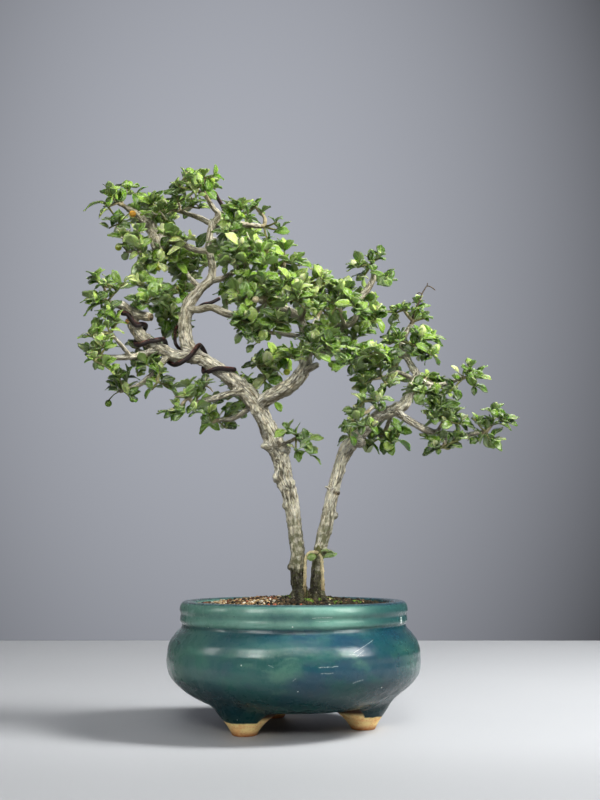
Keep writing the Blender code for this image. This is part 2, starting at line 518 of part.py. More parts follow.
class Spray:
    """A leafy spray: a twig from the end of a limb or spur, forked to reach each of its tufts."""

    def __init__(self, name, limb, tufts):
        self.name = name
        path = {**LIMBS, **SPURS}[limb]
        end, before = Vector(path[-1][:3]), Vector(path[-2][:3])
        way = (end - before).normalized()
        self.radius = min(path[-1][3], SPRAY_R)
        self.nodes = [end + way * GAP, end + way * LEAD] + [Vector(t) for t in tufts]
        self.parents = [-1, 0]
        for i in range(2, len(self.nodes)):
            reach = [
                (self.nodes[i] - self.nodes[j]).length + 0.25 * (self.nodes[j] - self.nodes[0]).length
                for j in range(1, i)
            ]
            self.parents.append(1 + reach.index(min(reach)))
        self.load = [1] * len(self.nodes)
        for i in range(len(self.nodes) - 1, 0, -1):
            self.load[self.parents[i]] += self.load[i]

    def thickness(self, i):
        """The twig's radius at a node, by the share of the spray that it carries."""
        if i < 2:
            return self.radius
        return max(TWIG_TIP_R, self.radius * (self.load[i] / self.load[1]) ** 0.5)

    def paths(self):
        """The twig's runs, each from a fork out to a tip, with the heaviest going straight on."""
        children = {}
        for i, parent in enumerate(self.parents):
            children.setdefault(parent, []).append(i)
        runs, starts = [], [(0, None)]
        while starts:
            i, origin = starts.pop()
            run = [] if origin is None else [origin]
            while True:
                run.append(i)
                after = sorted(children.get(i, []), key=lambda j: -self.load[j])
                if not after:
                    break
                starts += [(j, i) for j in after[1:]]
                i = after[0]
            runs.append(run)
        return runs

    def twigs(self):
        """The tubes of the spray."""
        made = []
        for run in self.paths():
            radii = [self.thickness(i) for i in run]
            radii[0] = min(radii[0], radii[1] * 1.25) if run[0] else radii[0]
            points = [(*self.nodes[i], r) for i, r in zip(run, radii)]
            made.append(tube(self.name, points, 4))
        return made

    def leaves(self, i):
        """The draws for one tuft: base, direction, face normal, length, width and wave of each leaf."""
        draw = random.Random(f"{self.name} {i}")
        way = (self.nodes[i] - self.nodes[self.parents[i]]).normalized()
        axis = (way * 0.8 + Vector((0, 0, 0.6))).normalized()
        side = axis.orthogonal().normalized()
        other = axis.cross(side)
        turn = draw.uniform(0, math.tau)
        ends = self.load[i] == 1
        found = []
        for k in range(LEAF_TRIES):
            lean = math.radians(draw.uniform(15, 40) if k == 0 and ends else draw.uniform(48, 88))
            around = turn + TURN * k
            out = side * math.cos(around) + other * math.sin(around)
            direction = axis * math.cos(lean) + out * math.sin(lean)
            up = Vector((draw.gauss(0, 0.35), draw.gauss(0, 0.35) - 0.25, 1))
            normal = (up - direction * up.dot(direction)).normalized()
            length = draw.uniform(*LEAF_LENGTH)
            width = length * draw.uniform(*LEAF_WIDTH)
            base = self.nodes[i] - way * min(0.9 * k, 4)
            found.append((base, direction, normal, length, width, draw.uniform(-1, 1)))
        return found


def leaf(base, direction, normal, length, width, wave, thick):
    """A leaf with a narrow foot and a waved edge: pointed if young, or else ending in three teeth."""
    across = direction.cross(normal)
    half = width / 2
    young = [
        (0, 0, 0),
        (0.42, 0.94, 0.11 + 0.06 * wave),
        (0.78, 0.70, 0.07 - 0.04 * wave),
        (1, 0, -0.05),
        (0.78, -0.70, 0.07 + 0.04 * wave),
        (0.42, -0.94, 0.11 - 0.06 * wave),
    ]
    grown = [
        (0, 0, 0),
        (0.46, 0.92, 0.12 + 0.07 * wave),
        (0.84, 0.88, 0.07 - 0.05 * wave),
        (0.86, 0.44, 0.02),
        (1, 0, -0.06),
        (0.86, -0.44, 0.02),
        (0.84, -0.88, 0.07 + 0.05 * wave),
        (0.46, -0.92, 0.12 - 0.07 * wave),
    ]
    points = [
        base + direction * (length * s) + across * (half * t) + normal * (length * 0.8 * lift)
        for s, t, lift in (grown if length > YOUNG_UNDER else young)
    ]
    if length > YOUNG_UNDER:
        faces = [(0, 1, 7), (1, 2, 6), (1, 6, 7), (2, 3, 4), (2, 4, 6), (4, 5, 6)]
    else:
        faces = [(0, 1, 5), (1, 2, 4), (1, 4, 5), (2, 3, 4)]
    obj = placed("leaf", new_mesh("leaf", points, faces), SCRAP)
    solid = obj.modifiers.new("thick", "SOLIDIFY")
    solid.thickness = thick
    solid.offset = 0
    return tidied(frozen(obj))


def berry(at, stem):
    """A round berry on a stalk from its twig."""
    arc = [(BERRY_R * math.sin(a), BERRY_R * math.cos(a)) for a in (0, 1.1, 2.1, math.pi)]
    fruit = turned("berry", arc, 6)
    fruit.transform(Matrix.Translation(at))
    top = at + Vector((0, 0, BERRY_R * 0.7))
    stalk = tube("stalk", [(*stem, 0.6), (*top, 0.6)], 4)
    return [fruit, stalk]


def painted(obj, colour, roughness, metallic=0.0, smooth=True):
    """The object with a material of its own and its shading set."""
    material = bpy.data.materials.new(obj.name)
    material.use_nodes = True
    shader = material.node_tree.nodes["Principled BSDF"]
    shader.inputs["Base Color"].default_value = (*colour, 1)
    shader.inputs["Roughness"].default_value = roughness
    shader.inputs["Metallic"].default_value = metallic
    material.diffuse_color = (*colour, 1)
    obj.data.materials.clear()
    obj.data.materials.append(material)
    for polygon in obj.data.polygons:
        polygon.use_smooth = smooth
    return obj


def berried(spray, clear):
    """The spray's berries with their stalks, kept clear for the leaves to come."""
    made = []
    for place in BERRIES.get(spray.name, []):
        at = Vector(place)
        stem = min(spray.nodes[2:], key=lambda node: (node - at).length)
        made += berry(at, stem)
    for mesh in made:
        clear.add(mesh, spray.name)
    return made


def leafed(spray, clear):
    """A leaf on every tip and on some forks, the first of each tuft's draws that crosses nothing."""
    made = []
    for i in range(2, len(spray.nodes)):
        if spray.load[i] > 1 and i % FORK_LEAF_EVERY:
            continue
        for base, direction, normal, length, width, wave in spray.leaves(i):
            start = base + direction * LEAF_SUNK
            roomy = leaf(start, direction, normal, length, width * 1.08, wave, LEAF_THICK + LEAF_ROOM)
            if clear.crossed(roomy, spray.name):
                continue
            clear.add(roomy, spray.name + " leaf")
            made.append(leaf(base, direction, normal, length, width, wave, LEAF_THICK))
            break
    return made


def main():
    for obj in list(bpy.data.objects):
        bpy.data.objects.remove(obj)
    bpy.context.scene.collection.children.link(SCRAP)
    bonsai = bpy.data.collections.new("Fukien tea bonsai")
    bpy.context.scene.collection.children.link(bonsai)

    made = {
        "pot": (pot(), (0.05, 0.16, 0.16), 0.2, 0.0),
        "drain_mesh": (drain_mesh(), (0.02, 0.02, 0.02), 0.6, 0.0),
        "soil": (soil(), (0.12, 0.08, 0.05), 0.9, 0.0),
        "wood": (wood(), (0.35, 0.31, 0.25), 0.8, 0.0),
        "coil_wire": (coil(), (0.06, 0.04, 0.035), 0.45, 0.6),
        "tie_wire": (tie(), (0.06, 0.04, 0.035), 0.45, 0.6),
    }
    clear = Clear()
    for name, (mesh, *_) in made.items():
        clear.add(mesh, name)
    sprays = [Spray(name, limb, tufts) for name, (limb, tufts) in SPRAYS.items()]
    parts = {spray.name: spray.twigs() for spray in sprays}
    for name, meshes in parts.items():
        for mesh in meshes:
            clear.add(mesh, name)
    for spray in sprays:
        parts[spray.name] += berried(spray, clear)
    for spray in sprays:
        parts[spray.name] += leafed(spray, clear)
    for name, meshes in parts.items():
        fused = combined(name, meshes, solver="MANIFOLD")
        made["spray_" + name] = (fused, (0.10, 0.24, 0.05), 0.4, 0.0)

    corners = [vertex.co for mesh, *_ in made.values() for vertex in mesh.vertices]
    low = [min(co[i] for co in corners) for i in range(3)]
    high = [max(co[i] for co in corners) for i in range(3)]
    middle = Vector(((low[0] + high[0]) / 2, (low[1] + high[1]) / 2, low[2]))
    to_row = Matrix.Scale(MM, 4) @ Matrix.Translation(-middle)
    for name, (mesh, colour, roughness, metallic) in made.items():
        mesh.transform(to_row)
        painted(placed(name, mesh, bonsai), colour, roughness, metallic, name not in ("drain_mesh", "soil"))
    bpy.data.collections.remove(SCRAP)


main()
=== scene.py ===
"""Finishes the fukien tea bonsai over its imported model: bark, foliage, berries, soil, wires and glazed pot.

Sizes are in millimetres about the pot's upright axis until a mesh is placed: X to the right, Y away, Z up.
"""

import logging
import math
import random
from dataclasses import dataclass, field
from enum import Enum
from typing import Any, Sequence

import bmesh
import bpy
import numpy as np
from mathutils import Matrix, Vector, noise
from mathutils.kdtree import KDTree


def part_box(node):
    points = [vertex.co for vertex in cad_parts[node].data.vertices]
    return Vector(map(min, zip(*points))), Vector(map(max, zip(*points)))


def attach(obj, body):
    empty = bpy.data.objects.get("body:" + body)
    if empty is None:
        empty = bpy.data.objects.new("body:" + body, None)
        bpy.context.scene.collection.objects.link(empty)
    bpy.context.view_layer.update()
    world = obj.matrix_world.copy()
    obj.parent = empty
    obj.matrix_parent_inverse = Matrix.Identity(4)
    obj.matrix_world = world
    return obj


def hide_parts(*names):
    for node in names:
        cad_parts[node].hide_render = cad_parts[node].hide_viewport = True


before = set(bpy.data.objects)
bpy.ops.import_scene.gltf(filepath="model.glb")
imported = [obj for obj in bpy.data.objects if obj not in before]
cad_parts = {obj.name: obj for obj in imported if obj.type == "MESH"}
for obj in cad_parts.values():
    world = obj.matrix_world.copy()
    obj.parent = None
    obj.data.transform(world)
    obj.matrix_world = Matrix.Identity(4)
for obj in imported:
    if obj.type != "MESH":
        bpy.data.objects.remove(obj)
LOG = logging.getLogger("bonsai")

MM = 0.001
Point = tuple[float, float, float]
Knot = tuple[float, float, float, float]
Colour = tuple[float, float, float, float]

# Runs of points with the radius there. A limb or spur that ends in a spray has the spray's name
LIMBS: dict[str, list[Knot]] = {
    "left_trunk": [(5, -2, 84, 6.9), (5, -2, 98, 5.5), (3, -1, 117, 5.7), (3, 0, 137, 5.7), (1, 2, 153, 5.7),
        (-1, 3, 169, 5.9), (-4, 4, 185, 6.5), (-8, 5, 195, 7.3), (-10, 5, 208, 6.7), (-14, 4, 220, 7.8),
        (-20, 3, 233, 7.3), (-24, 2, 242, 6.9), (-33, 0, 258, 7.3), (-46, -2, 271, 6.5), (-61, -3, 283, 5.6),
        (-77, -3, 293, 5.5), (-88, -3, 299, 5.3)],
    "leader": [(-79, -3, 294, 5.3), (-87, -1, 303, 5.8), (-90, 3, 317, 5.5), (-90, 5, 328, 5.4), (-88, 8, 340, 4.9),
        (-79, 10, 353, 4.1), (-70, 12, 363, 3.8), (-69, 12, 375, 3.3), (-72, 12, 388, 3.1), (-71, 12, 401, 2.9),
        (-69, 12, 411, 3.1)],
    "right_trunk": [(18, -4, 84, 6.8), (18, -4, 96, 5.8), (18, -4, 114, 4.7), (19, -3, 129, 4.5),
        (23, -2, 145, 5.3), (27, 0, 161, 5.7), (30, 2, 177, 5), (34, 4, 194, 4.9), (39, 5, 210, 5.1),
        (46, 5, 223, 5.9), (56, 4, 233, 5), (70, 2, 246, 5), (88, 0, 253, 4.8), (95, -2, 266, 3.7),
        (101, -4, 279, 3.5)],
    "inner": [(-29, 0, 254, 6.1), (-19, -4, 261, 6), (-3, -10, 269, 6.2), (7, -14, 280, 5.6), (10, -14, 291, 4.8),
        (9, -13, 302, 3.8), (8, -12, 315, 3.7), (3, -8, 326, 3.8), (-9, -4, 333, 3.9), (-18, 0, 338, 3.2),
        (-28, 4, 342, 2.4)],
    "left_end": [(-77, -3, 293, 5.5), (-88, -7, 293, 5.1), (-99, -11, 294, 4.9), (-108, -14, 298, 5.3),
        (-116, -17, 302, 5.2), (-123, -20, 308, 5.2), (-128, -22, 315, 5), (-130, -24, 324, 4.4),
        (-137, -26, 331, 3.8), (-146, -27, 333, 2.8)],
    "tip_left": [(-72, 12, 388, 2.6), (-79, 12, 387, 2.6), (-88, 14, 390, 2.6), (-97, 18, 396, 2.8),
        (-109, 24, 400, 4.1), (-120, 28, 408, 5.3), (-128, 30, 418, 4.3), (-137, 32, 426, 3), (-146, 30, 431, 2.2)],
    "hang": [(-121, 28, 410, 5.4), (-117, 26, 398, 6.3), (-114, 22, 386, 6)],
    "eaves": [(-70, 12, 361, 2.8), (-58, 8, 363, 2.5), (-47, 4, 369, 2.4), (-42, 0, 376, 2.4), (-37, -4, 386, 2.1)],
    "roof": [(-69, 12, 410, 2.9), (-54, 16, 412, 2.9), (-42, 20, 412, 2.6), (-29, 24, 412, 2)],
    "crown": [(-69, 12, 410, 2.6), (-64, 10, 418, 2.5), (-68, 8, 423, 2.3), (-73, 4, 430, 1.9)],
    "shelf": [(-69, 12, 410, 2.5), (-82, 18, 418, 2.3), (-95, 24, 424, 1.9)],
    "back_top": [(-71, 12, 392, 2.3), (-67, 36, 401, 2.2), (-60, 56, 411, 1.8)],
    "cheek": [(-90, 5, 335, 3.3), (-78, 4, 335, 3.2), (-68, 2, 336, 3.1), (-57, 0, 331, 3.2), (-44, -2, 328, 2.9),
        (-34, -4, 330, 2.6), (-27, -6, 334, 2.1)],
    "tower": [(8, -12, 315, 3.2), (20, -16, 316, 3), (33, -20, 315, 2.8), (46, -24, 317, 2.4), (51, -26, 326, 2.4),
        (53, -26, 336, 2.8), (60, -26, 346, 2.8), (64, -26, 354, 2.2), (63, -26, 362, 1.6)],
    "brow": [(5, -10, 321, 2.4), (8, -20, 330, 2.1), (3, -26, 336, 1.9), (-5, -30, 337, 1.6)],
    "back_mid": [(8, -13, 296, 2.4), (13, 20, 317, 2.3), (20, 42, 336, 1.9)],
    "shelf_low": [(8, -12, 308, 2.2), (-6, -20, 309, 2.1), (-18, -26, 309, 1.7)],
    "spire": [(-9, -4, 333, 1.8), (-8, -2, 352, 1.5), (-8, 0, 371, 1.3)],
    "claw": [(-109, -14, 297, 3), (-117, -20, 294, 2.8), (-127, -26, 290, 2.7), (-139, -32, 288, 2.3),
        (-149, -36, 288, 1.9)],
    "fan": [(-130, -28, 290, 1.9), (-135, -38, 296, 1.7), (-141, -42, 303, 1.5)],
    "droop": [(-98, -11, 296, 2.7), (-107, -15, 286, 2.6), (-114, -14, 277, 2.5), (-125, -8, 270, 2.1),
        (-136, -2, 267, 1.7)],
    "left_top": [(-129, -22, 324, 2.4), (-125, -12, 336, 2.1), (-120, -6, 344, 1.7)],
    "nook": [(-89, 4, 326, 2.4), (-99, 18, 337, 2.1), (-105, 26, 344, 1.7)],
    "leader_left": [(-78, 10, 354, 2.5), (-88, 24, 366, 2.1), (-93, 34, 375, 1.7)],
    "front_low": [(-39, -1, 265, 2.9), (-53, -10, 262, 2.7), (-65, -18, 257, 2.5), (-76, -26, 253, 2)],
    "back_low": [(-33, 0, 255, 2.6), (-42, 8, 249, 2.3), (-51, 16, 245, 2.1), (-62, 24, 245, 1.7)],
    "far_low": [(-25, 2, 244, 2.6), (-35, 26, 259, 2.3), (-45, 46, 269, 1.9)],
    "belly": [(-8, -8, 266, 2.4), (-14, 8, 280, 2.1), (-19, 18, 290, 1.7)],
    "trunk": [(-11, 4, 221, 2.6), (-5, -6, 223, 2.1), (0, -12, 225, 1.6)],
    "pocket": [(10, -13, 295, 2.4), (21, -20, 295, 2.1), (35, -26, 294, 1.7)],
    "right_end": [(83, 0, 249, 3.6), (94, -8, 240, 3), (107, -14, 232, 3.1), (122, -20, 226, 2.9),
        (135, -25, 227, 2.2), (148, -28, 229, 1.8)],
    "right_pad": [(113, -17, 229, 1.9), (117, -22, 235, 1.6)],
    "tuft_top": [(101, -4, 278, 3.1), (95, 2, 290, 2.9), (90, 8, 303, 2.8), (92, 12, 314, 2.5), (98, 14, 324, 1.9)],
    "arm": [(100, -3, 276, 2.4), (111, -12, 269, 2.1), (121, -18, 269, 1.9), (132, -24, 272, 1.5)],
    "shoulder": [(98, -3, 275, 2.1), (84, -8, 280, 1.8), (74, -12, 276, 1.4)],
    "far_right": [(96, -2, 268, 2.3), (102, 24, 274, 2.1), (106, 42, 278, 1.8)],
    "elbow": [(77, 2, 248, 2.4), (66, -8, 252, 2), (59, -16, 247, 1.6)],
    "elbow_back": [(82, 0, 250, 2.3), (79, 14, 244, 2), (77, 24, 238, 1.7)],
    # Pruned stubs
    "limb_stub": [(7, -14, 280, 2.9), (14, -19, 282, 2.8), (19, -22, 284, 2.5)],
    "wired_stub": [(-129, -24, 326, 3.9), (-122, -28, 323, 3.6), (-115, -31, 321, 3.6)],
    "right_stub": [(49, 5, 225, 4.1), (55, -3, 223, 4)],
    "trunk_stub": [(-12, 4, 220, 4.1), (-26, 2, 221, 2)],
    "thorn": [(32, 3, 186, 2.1), (25, 0, 188, 1)],
    "low_stub": [(20, -3, 138, 2.4), (30, -9, 135, 2.1)],
    # Spurs
    "shelf_mid": [(-53, 16, 412, 1.8), (-49, 4, 414, 1.5)],
    "knot_top": [(-124, 28, 413, 2.2), (-125, 44, 425, 1.7)],
    "cheek_right": [(41, -22, 315, 1.9), (38, -36, 321, 1.6)],
    "cheek_low": [(37, -21, 314, 1.9), (42, -14, 307, 1.6)],
    "tower_mid": [(52, -26, 331, 1.7), (58, -16, 330, 1.4)],
    "left_mid": [(-121, -22, 292, 1.7), (-126, -12, 298, 1.4)],
    "droop_mid": [(-113, -14, 279, 1.9), (-109, -22, 272, 1.5)],
    "pocket_left": [(19, -19, 296, 1.7), (21, -28, 300, 1.4)],
    "collar": [(90, 7, 301, 2), (97, 0, 303, 1.6)],
    "collar_back": [(93, 4, 294, 1.9), (89, 18, 298, 1.6)],
    "arm_low": [(110, -11, 270, 1.8), (109, -16, 264, 1.4)],
    "foot_leaf": [(16, -11, 135, 1), (18, -14, 138, 0.9)],
    "branch_low": [(121, -20, 226, 2.1), (119, -24, 220, 1.6)],
}

# The tufts of each spray, from near to far, and its berries
SPRAYS: dict[str, list[Point]] = {
    "crown": [(-82, -4, 435), (-86, -8, 444), (-76, 4, 448), (-71, 16, 445), (-95, -14, 434), (-98, 6, 428)],
    "shelf": [(-105, 24, 427), (-114, 14, 422), (-125, 30, 432), (-91, 38, 434), (-123, 42, 425)],
    "tip_left": [(-152, 24, 433), (-159, 20, 428), (-154, 10, 434), (-145, 34, 449), (-138, 46, 445),
        (-148, 14, 411)],
    "hang": [(-121, 10, 377), (-129, 4, 385), (-141, 16, 387), (-143, 6, 396), (-129, -4, 397), (-100, 0, 395)],
    "roof": [(-28, 30, 425), (-33, 22, 429), (-44, 26, 423), (-15, 18, 414), (-11, 30, 410), (-22, 16, 398)],
    "eaves": [(-33, -16, 378), (-21, -24, 378), (-25, -34, 363), (-39, -22, 365), (-46, -30, 374), (-54, -16, 370)],
    "spire": [(-8, 2, 385), (-2, -10, 370), (5, 4, 372), (-17, 10, 368), (-4, 20, 366)],
    "leader_left": [(-99, 40, 385), (-105, 28, 382), (-88, 50, 391), (-98, 52, 375), (-77, 44, 384)],
    "cheek": [(-23, -16, 340), (-34, -26, 339), (-44, -34, 334), (-25, -30, 348), (-51, -10, 348), (-14, -20, 346)],
    "inner": [(-37, 16, 351), (-48, 26, 360), (-28, 30, 365), (-59, 34, 353), (-19, 42, 359)],
    "brow": [(-8, -42, 343), (3, -48, 344), (13, -40, 346), (22, -46, 347), (14, -54, 331), (2, -60, 328)],
    "back_mid": [(24, 54, 347), (16, 60, 358), (33, 66, 341), (7, 62, 342), (42, 50, 345)],
    "shelf_low": [(-25, -34, 305), (-30, -40, 313), (-39, -32, 310), (-42, -44, 316), (-15, -44, 314)],
    "tower": [(62, -22, 370), (68, -30, 369), (51, -32, 361), (57, -16, 358), (73, -36, 349)],
    "left_top": [(-119, -2, 353), (-111, -14, 345), (-130, 4, 355), (-108, 8, 342), (-117, -26, 333)],
    "left_end": [(-152, -30, 337), (-158, -36, 334), (-153, -22, 348), (-158, -30, 351), (-140, -34, 342),
        (-146, -42, 323)],
    "nook": [(-111, 22, 340), (-107, 14, 328), (-100, 24, 323), (-105, 38, 356), (-95, 42, 359)],
    "fan": [(-145, -46, 309), (-138, -42, 315), (-154, -40, 309), (-155, -50, 300), (-146, -34, 321)],
    "claw": [(-154, -40, 291), (-162, -36, 292), (-155, -48, 283), (-146, -54, 295), (-147, -46, 279),
        (-147, -22, 298)],
    "droop": [(-144, 10, 267), (-147, 2, 269), (-133, -4, 260), (-139, 10, 278), (-141, -12, 275)],
    "front_low": [(-83, -32, 256), (-82, -28, 266), (-90, -38, 245), (-96, -32, 241), (-76, -44, 243),
        (-69, -36, 265)],
    "back_low": [(-69, 28, 242), (-57, 34, 239), (-51, 30, 252), (-78, 36, 253), (-67, 40, 261)],
    "far_low": [(-52, 54, 278), (-40, 60, 281), (-58, 60, 267), (-45, 58, 256), (-34, 64, 269)],
    "belly": [(-27, 22, 294), (-30, 10, 288), (-15, 28, 300), (-23, 14, 279), (-3, 26, 298)],
    "trunk": [(3, -18, 227), (-5, -22, 231), (10, -24, 222), (11, -14, 215), (2, -22, 214)],
    "pocket": [(45, -32, 294), (54, -24, 291), (65, -38, 291), (46, -36, 282), (75, -30, 288)],
    "right_end": [(156, -30, 235), (159, -26, 245), (164, -36, 237), (144, -38, 234), (145, -26, 222),
        (155, -36, 220)],
    "right_pad": [(119, -26, 242), (110, -36, 239), (128, -20, 243), (115, -32, 248), (130, -34, 235)],
    "tuft_top": [(101, 16, 334), (105, 20, 344), (91, 6, 335), (84, 14, 333), (108, 8, 328)],
    "arm": [(138, -28, 273), (148, -24, 273), (139, -36, 279), (125, -32, 262), (141, -40, 263)],
    "shoulder": [(63, -16, 273), (56, -24, 268), (54, -8, 279), (69, -22, 283), (76, -26, 265)],
    "far_right": [(114, 52, 285), (125, 56, 279), (106, 58, 270), (96, 60, 283), (133, 50, 271)],
    "elbow": [(51, -22, 246), (46, -30, 238), (55, -30, 253), (66, -38, 253), (60, -36, 233), (44, -26, 225)],
    "elbow_back": [(77, 30, 232), (81, 22, 225), (69, 38, 236), (88, 34, 236), (64, 28, 225)],
    "back_top": [(-54, 66, 421), (-44, 72, 416), (-65, 72, 427), (-56, 74, 403), (-71, 80, 407), (-43, 62, 398)],
    "shelf_mid": [(-48, -4, 416), (-54, -8, 396), (-45, -4, 392), (-60, 0, 386)],
    "knot_top": [(-128, 56, 433), (-118, 60, 427), (-140, 62, 427), (-131, 50, 438)],
    "cheek_right": [(35, -44, 329), (44, -50, 330), (30, -36, 340), (41, -40, 341), (48, -52, 319)],
    "cheek_low": [(49, -8, 307), (36, -4, 304), (57, -10, 313), (29, -14, 307)],
    "tower_mid": [(64, -10, 330), (66, -16, 322), (59, -2, 321), (54, -4, 341)],
    "left_mid": [(-132, -6, 301), (-123, 2, 304), (-117, -4, 289), (-130, 2, 290)],
    "droop_mid": [(-103, -16, 269), (-113, -20, 264), (-107, -22, 278), (-118, -24, 284), (-98, -10, 265)],
    "pocket_left": [(19, -34, 305), (27, -40, 296), (14, -38, 293), (32, -26, 305)],
    "collar": [(103, -4, 308), (112, 4, 309), (106, -8, 297), (85, -10, 306)],
    "collar_back": [(83, 26, 298), (76, 34, 294), (88, 36, 293), (98, 30, 305)],
    "arm_low": [(104, -22, 260), (113, -20, 257), (119, -10, 251), (97, -8, 264)],
    "foot_leaf": [(21, -16, 136)],
    "branch_low": [(113, -30, 216), (110, -14, 223), (124, -20, 217), (128, -36, 222)],
}
BERRIES: dict[str, list[Point]] = {
    "crown": [(-70, 10, 448)],
    "tip_left": [(-136, 8, 418)],
    "hang": [(-113, 2, 370), (-148, 12, 390)],
    "cheek": [(-30, -40, 333)],
    "nook": [(-111, 4, 326)],
    "droop": [(-153, 10, 257), (-132, 4, 260)],
    "belly": [(-6, 14, 284)],
    "pocket": [(30, -30, 283)],
}

